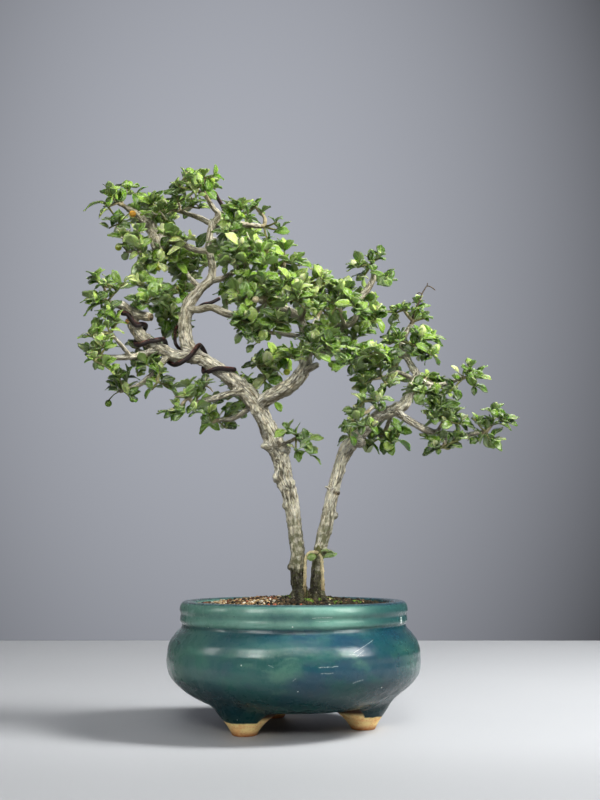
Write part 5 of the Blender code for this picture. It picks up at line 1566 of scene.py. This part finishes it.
    def lone(self, draw: random.Random) -> list[Leaf]:
        """The leaves that stand out, each at a place of its own.

        Args:
            draw: the draws for how they wave.

        Returns:
            The leaves.
        """
        found = []
        for *ends, width, tone, face in LONE.get(self.name, []):
            base, tip = Vector(ends[:3]), Vector(ends[3:])
            direction = (tip - base).normalized()
            normal = square_to(direction, Vector((0.1, face - 1, face + 0.12)))
            found.append(Leaf(base, direction, normal, (tip - base).length, width * 1.05, tone,
                              draw.uniform(-0.6, 0.6), 0.12 * face, 9.0))
        return found

    def leaves(self, shape: Shape) -> None:
        """Adds every leaf.

        Args:
            shape: what they are added to.
        """
        draw = random.Random(f"{self.name} tone")
        hue = draw.gauss(0, 0.04)
        leaves = self.lone(draw)
        for i in range(2, len(self.nodes)):
            if i < len(self.tufts) + 2:
                leaves += self.drawn(i, draw)
            if self.name not in self.bare:
                leaves += self.rosette(i, draw) + self.along(i, draw)
        for leaf in leaves:
            pale = draw.random() < 0.006
            tone = draw.uniform(0.58, 0.8) if pale else min(max(leaf.tone + hue, 0.0), 0.9)
            blade = self.blade if leaf.length > self.full_over else self.young_blade
            s, t = blade.grid()
            side = np.column_stack([s, t * 0.5 + 0.5, np.full(len(s), tone), np.ones(len(s))])
            tag = np.concatenate([side, side * (1, 1, 1, 0)])
            shape.add(blade.points(leaf), blade.faces(), [True, False], leaf=tag)

    def berries(self, shape: Shape) -> None:
        """Adds the berries with their stalks and cups.

        Args:
            shape: what they are added to.
        """
        colour, size = self.berry_tints.get(self.name, self.berry_green), self.berry_radius
        arc = np.linspace(0, math.pi, 11)
        dent = 1 - 0.1 * np.exp(-((arc / 0.5) ** 2)) - 0.06 * np.exp(-(((math.pi - arc) / 0.3) ** 2))
        for place in BERRIES.get(self.name, []):
            at = Vector(place)
            stem = min(self.nodes[2:], key=lambda node: (node - at).length)
            run = np.array([(at.x, at.y, at.z + size * math.cos(a) * d, max(size * math.sin(a), 0.05))
                            for a, d in zip(arc, dent)])
            shape.add_tube(run, 16, colour, rounded=False)
            top = at + Vector((0, 0, size * 0.85))
            bend = (stem + top) / 2 + Vector((0, 0, 1.2))
            shape.add_tube(smooth_run([(*stem, 0.5), (*bend, 0.45), (*top, 0.6)], 1.5), 6, self.berry_stalk)
            for a in (k * math.tau / 5 for k in range(5)):
                tip = top + Vector((math.cos(a) * 2.3, math.sin(a) * 2.3, -0.9))
                lobe = [[*top, 0.55], [*(top.lerp(tip, 0.5) + Vector((0, 0, 0.3))), 0.6], [*tip, 0.15]]
                shape.add_tube(np.array(lobe), 5, self.berry_cup)

    def build(self, foliage: bpy.types.Material, stems: bpy.types.Material) -> None:
        """Makes the spray's leaves, and a second piece of its twigs and berries.

        Args:
            foliage: the leaves' material.
            stems: the material of the rest.
        """
        green, stalks = Shape(), Shape()
        self.leaves(green)
        green.place(f"leaves_{self.name}", foliage, Slot.LEAVES, f"spray_{self.name}")
        draw = random.Random(f"{self.name} twig")
        for part in (self.fork, self.stalks, self.dead_wood):
            part(stalks, draw)
        self.berries(stalks)
        stalks.place(f"twigs_{self.name}", stems, Slot.LEAVES)


@dataclass
class Wires:
    """The thick wire coiled along the left limb, the thin one that ties the leader to it, and a short end."""

    finish: bpy.types.Material
    thick: float = 2.0
    thin: float = 1.5
    gap: float = 0.3
    sides: int = 16
    steps: int = 12
    lazy: float = 0.34
    tie: tuple[Point, ...] = (
        (-84, 6, 290), (-89, 6, 297), (-94, 2, 301), (-97, -2, 305), (-98, 2, 312), (-98, 10, 320), (-90, 14, 329),
        (-83, 13, 336), (-76, 9, 340), (-69, 6, 341), (-62, 4, 344),
    )
    # Where the coil stands at turns counted from its first crossing of the limb's front: X and turns
    stations: tuple[tuple[float, float], ...] = (
        (-53, -0.22), (-61, 0), (-86, 1), (-118, 2), (-129, 3), (-136, 3.22),
    )
    crown_end: tuple[Knot, ...] = (
        (-66.8, 8.5, 436.5, 1.5), (-64.4, 8.6, 431.5, 1.6), (-61.4, 8.8, 426.5, 1.6), (-59.6, 9.6, 422.5, 1.6),
        (-60.0, 10.4, 419.6, 1.5),
    )

    def along(self, path: list[Knot], x: float) -> tuple[Vector, Vector, float]:
        """The point, direction and radius where a path first reaches this X, going left.

        Args:
            path: the limb's knots.
            x: where it is wanted.

        Returns:
            The three, or those of the path's end where it stops short.
        """
        for a, b in zip(path, path[1:]):
            if b[0] <= x <= a[0]:
                share = (a[0] - x) / (a[0] - b[0])
                way = (Vector(b[:3]) - Vector(a[:3])).normalized()
                return Vector(a[:3]).lerp(Vector(b[:3]), share), way, a[3] + (b[3] - a[3]) * share
        last = Vector(path[-1][:3])
        return last, (last - Vector(path[-2][:3])).normalized(), path[-1][3]

    def held_off(self, point: Vector, need: float) -> Vector:
        """The point moved out of any limb until it is this far from its bark.

        Args:
            point: the point.
            need: how far off it has to be.

        Returns:
            The moved point.
        """
        for _ in range(40):
            moved = False
            for path in LIMBS.values():
                for a, b in zip(path, path[1:]):
                    start, step = Vector(a[:3]), Vector(b[:3]) - Vector(a[:3])
                    share = min(max((point - start).dot(step) / step.length_squared, 0.0), 1.0)
                    away = point - (start + step * share)
                    short = need + a[3] + (b[3] - a[3]) * share - away.length
                    if short > 0.01:
                        point = point + away.normalized() * short
                        moved = True
            if not moved:
                break
        return point

    def coil(self) -> list[Knot]:
        """The thick wire's run, wound outwards along the left limb.

        Returns:
            Its knots.
        """
        path = LIMBS["left_trunk"][12:16] + LIMBS["left_end"]
        points = []
        for (x1, t1), (x2, t2) in zip(self.stations, self.stations[1:]):
            count = max(round(self.steps * (t2 - t1)), 2)
            for i in range(count + (x2 == self.stations[-1][0])):
                share = i / count
                at, way, radius = self.along(path, x1 + (x2 - x1) * share)
                turn = t1 + (t2 - t1) * share
                turn = math.tau * turn - self.lazy * math.sin(math.tau * turn)
                front = (Vector((0, -1, 0)) - way * -way.y).normalized()
                down = front.cross(way)
                down = -down if down.z > 0 else down
                out = front * math.cos(turn) + down * math.sin(turn)
                points.append(at + out * (radius + self.thick + self.gap + 0.4))
        return [(*self.held_off(point, self.thick + self.gap + 0.2), self.thick) for point in points]

    def build(self) -> None:
        """Makes the wires."""
        tie = [(*self.held_off(Vector(point), self.thin + self.gap), self.thin) for point in self.tie]
        for name, knots, nodes in (("coil_wire_round", self.coil(), ("coil_wire",)),
                                   ("tie_wire_round", tie, ("tie_wire",)),
                                   ("crown_wire_end", self.crown_end, ())):
            shape = Shape()
            shape.add(*tube(smooth_run(knots, 1.0), self.sides))
            shape.place(name, self.finish, Slot.WIRE, *nodes)


def lump_forms() -> list[tuple[np.ndarray, np.ndarray]]:
    """Two rounded blocks to make grains from: one with 20 faces and one with 80.

    Returns:
        The points and the faces of each.
    """
    forms = []
    for fineness in (1, 2):
        work = bmesh.new()
        bmesh.ops.create_icosphere(work, subdivisions=fineness, radius=1.0)
        faces = np.array([[v.index for v in face.verts] for face in work.faces])
        forms.append((np.array([v.co[:] for v in work.verts]), faces))
        work.free()
    return forms


@dataclass
class Soil:
    """Gritty soil, mounded a little: tan, orange and white grains to the left, and dark crumbs to the right as
    painted shade.
    """

    finish: bpy.types.Material
    grains: int = 2400
    fines: int = 1700
    reach: float = 77.6
    edge: float = 78.6
    foot: float = 84.0
    rough_within: float = 77.0
    steps: int = 120
    seed: int = 11
    tan: tuple[Colour, ...] = (
        srgb(192, 164, 116), srgb(172, 140, 96), srgb(150, 118, 80), srgb(208, 186, 146), srgb(232, 226, 206),
        srgb(118, 90, 60), srgb(170, 96, 68), srgb(96, 80, 60), srgb(52, 44, 36), srgb(38, 34, 28),
    )
    # Dark crumbs, laid mostly to the right as painted shade
    dark: tuple[Colour, ...] = (
        srgb(42, 36, 28), srgb(30, 27, 21), srgb(54, 46, 34), srgb(72, 60, 44), srgb(24, 22, 18), srgb(50, 52, 34),
        srgb(96, 80, 58),
    )
    bed_tan: Colour = srgb(84, 68, 50)
    bed_painted_shade: Colour = srgb(36, 31, 24)

    def bed(self, shape: Shape) -> None:
        """Adds the bed that the grains lie on.

        Args:
            shape: what it is added to.
        """
        section = [(0.05, soil_height(0))] + [(r, soil_height(r)) for r in np.linspace(2, self.edge, 40)]
        rings, faces = turned(np.array([*section, (self.edge, self.foot)]), self.steps)
        points = rings.reshape(-1, 3)
        for place in points[:-self.steps]:
            if math.hypot(place[0], place[1]) < self.rough_within:
                place[2] += noise.noise(Vector(place) * 0.3) * 0.8 - 0.7
        lid = np.arange(self.steps)[None, :]
        under = lid[:, ::-1] + (len(rings) - 1) * self.steps
        # Painted shade: the bed darker to the right
        share = np.clip((points[:, :1] + 26) / 26, 0, 1)
        tint = np.array(self.bed_tan) * (1 - share) + np.array(self.bed_painted_shade) * share
        shape.add(points, [faces, lid, under], tint=tint)

    def build(self) -> None:
        """Makes the bed and its grains as one piece."""
        shape = Shape()
        self.bed(shape)
        draw = random.Random(self.seed)
        small, large = lump_forms()
        for index in range(self.grains + self.fines):
            coarse = index < self.grains // 2
            form, faces = large if coarse else small
            size = draw.uniform(1.1, 2.0) if index < self.grains else draw.uniform(0.4, 0.9)
            radius, turn = self.reach * math.sqrt(draw.random()), draw.uniform(0, math.tau)
            x, y = radius * math.cos(turn), radius * math.sin(turn)
            if any(math.hypot(x - foot[0], y - foot[1]) < foot[4] - 1 for foot in FLARES):
                continue
            near_foot = abs(x - 12) < 18 and -52 < y < 8
            # Painted shade: pale grains grow few to the right
            share = 1 / (1 + math.exp((x + 12 + 9 * noise.noise(Vector((x, y, 0)) * 0.05)) / 7))
            pale = draw.random() < (0.08 if near_foot else 0.03 + 0.9 * share)
            colour = draw.choice(self.tan if pale else self.dark)
            axis = Vector((draw.gauss(0, 1), draw.gauss(0, 1), draw.gauss(0, 1))).normalized()
            rotation = np.array(axis.to_track_quat("Z", "Y").to_matrix())
            shake = 1 + 0.16 * np.array([draw.uniform(-1, 1) for _ in range(len(form))])
            stretch = np.array([1, draw.uniform(0.65, 1), draw.uniform(0.5, 0.9)]) * size
            middle = (x, y, soil_height(radius) + size * draw.uniform(-0.1, 0.55))
            points = (form * shake[:, None] * stretch) @ rotation.T + middle
            shade = draw.uniform(0.62, 1.0)
            tint = np.tile([min(c * shade, 1.0) for c in colour[:3]] + [1.0], (len(points), 1))
            shape.add(points, [faces], [coarse], tint=tint)
        shape.place("soil_grains", self.finish, Slot.SOIL, "soil")


@dataclass
class Moss:
    """Low moss and fibres round the foot of the trunks."""

    finish: bpy.types.Material
    tufts: int = 900
    fibres: int = 46
    seed: int = 12
    # Each clump: the X and Y of its middle, and how wide it spreads
    clumps: tuple[tuple[float, float, float], ...] = (
        (12.6, -38, 2.2), (11, -30, 2.6), (-3, -14, 3.0), (28, -14, 3.2), (12, 6, 4.2), (20, -24, 2.6),
        (-6, 3, 3.4), (33, -36, 2.8), (48, -20, 3.0),
    )
    # The ring that the fibres start on: the X and Y of its middle, and how far it reaches along each
    ring: tuple[float, float, float, float] = (11, -3, 11, 7)
    greens: tuple[Colour, ...] = (srgb(96, 134, 48), srgb(76, 108, 42), srgb(122, 156, 60), srgb(88, 98, 48))
    browns: tuple[Colour, ...] = (srgb(112, 96, 66), srgb(84, 72, 50), srgb(96, 102, 54))

    def build(self) -> None:
        """Makes the moss and then the fibres."""
        shape = Shape()
        draw = random.Random(self.seed)
        for index in range(self.tufts):
            x, y, spread = self.clumps[index % len(self.clumps)]
            x, y = x + draw.gauss(0, spread * 0.5), y + draw.gauss(0, spread * 0.5)
            z = soil_height(math.hypot(x, y)) + 0.3
            tip = (x + draw.gauss(0, 0.5), y + draw.gauss(0, 0.5), z + draw.uniform(0.9, 2.0))
            middle = ((x + tip[0]) / 2, (y + tip[1]) / 2, (z + tip[2]) / 2)
            run = np.array([[x, y, z - 0.6, 0.34], [*middle, 0.28], [*tip, 0.05]])
            shape.add_tube(run, 4, draw.choice(self.greens), rounded=False)
        for _ in range(self.fibres):
            turn, reach = draw.uniform(0, math.tau), draw.uniform(7, 15)
            x, y = self.ring[0] + math.cos(turn) * self.ring[2], self.ring[1] + math.sin(turn) * self.ring[3]
            far = (x + math.cos(turn) * reach * 0.6, y + math.sin(turn) * reach * 0.6)
            z = soil_height(math.hypot(*far))
            near = (x, y, z + draw.uniform(3, 8), 0.35)
            middle = ((x + far[0]) / 2, (y + far[1]) / 2, z + draw.uniform(1.2, 3), 0.32)
            shape.add_tube(smooth_run([near, middle, (*far, z + 0.3, 0.25)], 1.5), 5, draw.choice(self.browns))
        shape.place("moss", self.finish, Slot.SOIL)


@dataclass
class Tendril:
    """The dry bare shoot above the top right tuft."""

    finish: bpy.types.Material
    colour: Colour = srgb(92, 80, 66)
    runs: tuple[tuple[Knot, ...], ...] = (
        ((97, 13, 323, 0.8), (99, 12, 330, 0.75), (101.7, 11, 337.4, 0.7), (105.2, 10, 344.2, 0.65),
         (106.9, 10, 349.3, 0.6), (109, 10, 353, 0.55), (111.2, 10, 356, 0.5), (114.5, 10, 355.3, 0.5),
         (117.9, 10, 352.7, 0.45)),
        ((106.9, 10, 349.3, 0.5), (104.8, 9, 350.2, 0.5), (102.8, 9, 349.3, 0.4)),
        ((111.2, 10, 356, 0.45), (111.8, 10, 358.6, 0.4)),
    )

    def build(self) -> None:
        """Makes the shoot."""
        shape = Shape()
        for run in self.runs:
            shape.add_tube(smooth_run(run, 1.0), 7, self.colour)
        shape.place("dry_shoot", self.finish, Slot.BARK)


@dataclass
class Arch:
    """The pale shoot that arches between the trunks and roots again."""

    finish: bpy.types.Material
    pale: Colour = srgb(212, 198, 156)
    earthy: Colour = srgb(158, 142, 104)
    knob_every: int = 9
    path: tuple[Knot, ...] = (
        (6, -5, 97, 1.9), (8.2, -10, 104, 1.6), (8.8, -12, 114, 1.5), (9.0, -12.4, 124, 1.45),
        (9.4, -12.6, 130, 1.45), (11.2, -12.6, 134.2, 1.4), (14.6, -12.8, 135.6, 1.4), (18.6, -12.8, 135.2, 1.4),
        (21.6, -12.6, 131.6, 1.45), (22.4, -12.2, 125, 1.5), (22.8, -11.8, 114, 1.55), (23, -10.5, 104, 1.6),
        (22.6, -7, 96, 1.9),
    )

    def build(self) -> None:
        """Makes the shoot, knobbly where its leaves have been."""
        run = smooth_run(self.path, 0.8)
        for i, row in enumerate(run):
            row[3] *= 0.86 + 0.2 * noise.noise(Vector(row[:3]) * 0.9) + (0.3 if i % self.knob_every == 0 else 0.0)
        points, faces = tube(run, 10)
        low = np.clip((122 - points[:, 2:3]) / 16, 0, 1)
        shape = Shape()
        shape.add(points, faces, tint=np.array(self.pale) * (1 - low) + np.array(self.earthy) * low)
        shape.place("arching_shoot", self.finish, Slot.BARK)


@dataclass
class Pot:
    """The thrown pot: a rolled band over a round belly, on three feet drawn out of its underside."""

    finish: bpy.types.Material
    steps: int = 240
    foot_ring: float = 55.0
    foot_angles: tuple[float, float, float] = (-41.6, 78.4, 198.4)
    drawn_below: float = 45.0
    even_below: float = 12.0
    # How much of the underside's height is left at distances from a foot's middle: 0 is on the ground
    foot_slope: tuple[tuple[float, float], ...] = (
        (0, 0.0), (8.2, 0.0), (9.6, 0.07), (12.8, 0.35), (18.5, 0.69), (24, 0.93), (30, 1.0),
    )
    # Radii and heights, with the distance between samples: the rolled rim, the belly down to the drain hole,
    # and the inside back up
    stretches: tuple[tuple[float, tuple[tuple[float, float], ...]], ...] = (
        (0.8, ((84.2, 97.6), (86.2, 97.5), (88.0, 96.6), (89.3, 94.9), (90.2, 92.0), (90.1, 89.8), (89.5, 88.2),
               (89.4, 86.8), (89.9, 84.6), (89.8, 82.2), (88.2, 80.0))),
        (1.3, ((88.3, 79.6), (88.6, 78.2), (90.0, 76.2), (92.6, 73.9), (94.4, 71.5), (98.6, 64.5), (100, 53),
               (98.2, 42), (91.5, 33.5), (80.5, 25.6), (68, 19.8), (50, 16.8), (9, 16))),
        (4.0, ((9, 24), (58, 24), (78, 33), (92, 50), (90, 66), (80, 80), (79, 93), (80.6, 96.0), (82.2, 97.2))),
    )

    def flat_run(self, knots: Sequence[tuple[float, float]], step: float) -> np.ndarray:
        """A smooth curve through pairs of numbers."""
        return smooth_run([(a, 0.0, b, 1.0) for a, b in knots], step)[:, [0, 2]]

    def draw_feet(self, rings: np.ndarray) -> None:
        """Draws the outside of the pot down to the ground at each foot.

        Args:
            rings: the outside's points, with a row for each point of the section; they are moved.
        """
        slope = self.flat_run(self.foot_slope, 0.5)
        for angle in (math.radians(a) for a in self.foot_angles):
            away = np.hypot(rings[..., 0] - self.foot_ring * math.sin(angle),
                            rings[..., 1] + self.foot_ring * math.cos(angle))
            left = np.interp(away, slope[:, 0], np.clip(slope[:, 1], 0, 1))
            rings[..., 2] *= np.where(rings[..., 2] < self.drawn_below, left, 1.0)

    def build(self) -> None:
        """Makes the pot, a little uneven from the hand."""
        runs = [self.flat_run(knots, step) for step, knots in self.stretches]
        rings, faces = turned(np.concatenate(runs), self.steps, closed=True)
        self.draw_feet(rings[:len(runs[0]) + len(runs[1])])
        points = rings.reshape(-1, 3)
        for place in points:
            if place[2] > self.even_below:
                at = Vector(place)
                ring = noise.noise(Vector((3.1, at.x * 0.004, at.z * 0.17)))
                push = noise.noise(at * 0.022) * 0.45 + noise.noise(at * 0.09) * 0.12 + ring * 0.4
                place[:2] *= 1 + push / max(math.hypot(place[0], place[1]), 20)
        shape = Shape()
        shape.add(points, [faces])
        shape.place("glazed_pot", self.finish, Slot.GLAZE, "pot")


class Shows(Enum):
    """What a light shows on."""

    ALL = "everything"
    MATT = "all but gloss"
    GLOSS = "gloss alone, as a card's reflection"


@dataclass
class Set:
    """The plain floor, the soft lights and the camera."""

    floor_low: Point = (-2.4, -2.4, -0.04)
    floor_high: Point = (2.4, 0.87, 0)
    wall_low: Point = (-3.2, 2.6, -0.6)
    wall_high: Point = (3.2, 2.65, 4.2)
    air: Colour = srgb(160, 163, 172)
    ambient: float = 0.2
    daylight: Point = (1.0, 0.985, 0.95)
    camera_at: Point = (4.96, -897.8, 134.4)
    pitch: float = 7.87
    lens_mm: float = 50.0
    sensor_mm: float = 36.0

    def lamp(self, name: str, at: Point, size: tuple[float, float], power: float, shows: Shows,
             towards: Point = (0, 0, 0.2), spread: float = 180) -> None:
        """Adds a soft light.

        Args:
            name: its name.
            at: where it stands, in metres.
            size: its width and height, in metres.
            power: its power, in watts.
            shows: what it shows on.
            towards: the point that it faces.
            spread: how wide its beam is, in degrees.
        """
        data = bpy.data.lights.new(name, "AREA")
        data.shape, data.size, data.size_y, data.energy = "RECTANGLE", *size, power
        data.color, data.spread = self.daylight, math.radians(spread)
        lamp = linked(name, data)
        lamp.location = at
        lamp.rotation_euler = (Vector(at) - Vector(towards)).to_track_quat("Z", "Y").to_euler()
        lamp.visible_glossy = shows is not Shows.MATT
        lamp.visible_diffuse = shows is not Shows.GLOSS

    def slab(self, name: str, low: Point, high: Point, material: bpy.types.Material) -> None:
        """Adds a plain slab that isn't part of the object.

        Args:
            name: its name.
            low: its lowest corner, in metres.
            high: its highest corner.
            material: its material.
        """
        (x0, y0, z0), (x1, y1, z1) = low, high
        mesh = bpy.data.meshes.new(name)
        mesh.from_pydata([(x, y, z) for z in (z0, z1) for x, y in ((x0, y0), (x1, y0), (x1, y1), (x0, y1))], [],
                         [(3, 2, 1, 0), (4, 5, 6, 7), (0, 1, 5, 4), (1, 2, 6, 5), (2, 3, 7, 6), (3, 0, 4, 7)])
        mesh.materials.append(material)
        slab = linked(name, mesh)

    def build(self) -> None:
        """Makes the set."""
        self.slab("floor", self.floor_low, self.floor_high, Studio().floor_material())
        self.slab("wall", self.wall_low, self.wall_high, Studio().wall_material())
        world = bpy.data.worlds.new("studio")
        bpy.context.scene.world = world
        world.use_nodes = True
        ground = world.node_tree.nodes["Background"]
        ground.inputs["Color"].default_value = self.air
        ground.inputs["Strength"].default_value = self.ambient
        bpy.context.scene.view_settings.view_transform = "Standard"
        self.lamp("key", (1.05, -0.16, 1.08), (0.36, 0.36), 43, Shows.MATT)
        self.lamp("front", (0.25, -1.2, 1.45), (1.0, 1.0), 9, Shows.ALL)
        self.lamp("tree", (-0.1, -1.5, 1.1), (0.9, 0.9), 1.8, Shows.MATT, (-0.04, 0, 0.39), 32)
        self.lamp("left", (-0.77, -1.02, 0.77), (0.42, 0.75), 10, Shows.GLOSS)
        self.lamp("right", (0.99, -0.63, 0.74), (0.4, 0.7), 11, Shows.GLOSS)
        self.lamp("left_side", (-1.17, -0.24, 0.6), (0.16, 0.45), 2, Shows.GLOSS, (0, 0, 0.1))
        lens = bpy.data.cameras.new("camera")
        lens.lens, lens.sensor_width = self.lens_mm, self.sensor_mm
        camera = linked("camera", lens)
        camera.location = [(c + a) * MM for c, a in zip(self.camera_at, AXIS)]
        camera.rotation_euler = (math.radians(90 + self.pitch), 0, 0)
        bpy.context.scene.camera = camera


def corners(box: tuple[Vector, Vector]) -> list[list[float]]:
    """A box's two corners as plain lists."""
    return [[float(v) for v in corner] for corner in box]


def main() -> None:
    """Builds each sub-assembly in order."""
    logging.basicConfig(level=logging.INFO, format="%(name)s: %(message)s")
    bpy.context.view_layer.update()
    Set().build()
    Pot(Glaze().material(AXIS[0])).build()
    Soil(Tinted("soil", 0.86, 2.2, 0.45, 0.5, 0.25).material()).build()
    Moss(Tinted("moss", 0.9, 1.5, 0.35, 0.4, 0.2).material()).build()
    Wood(Bark().material()).build()
    stems = Tinted("stems", 0.55, 3.0, 0.4, 0.7, 0.15).material()
    CutEnds(Tinted("cut_wood", 0.8, 1.2, 0.5, 0.4, 0.2).material()).build()
    Tendril(stems).build()
    Arch(Tinted("young_bark", 0.75, 2.0, 0.4, 0.5, 0.25).material()).build()
    Wires(Anodised().material()).build()
    foliage = Foliage().material()
    for name, tufts in SPRAYS.items():
        Spray(name, tufts).build(foliage, stems)
    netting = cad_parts["drain_mesh"]
    netting.data.materials.clear()
    netting.data.materials.append(Netting().material())


if __name__ == "__main__":
    main()
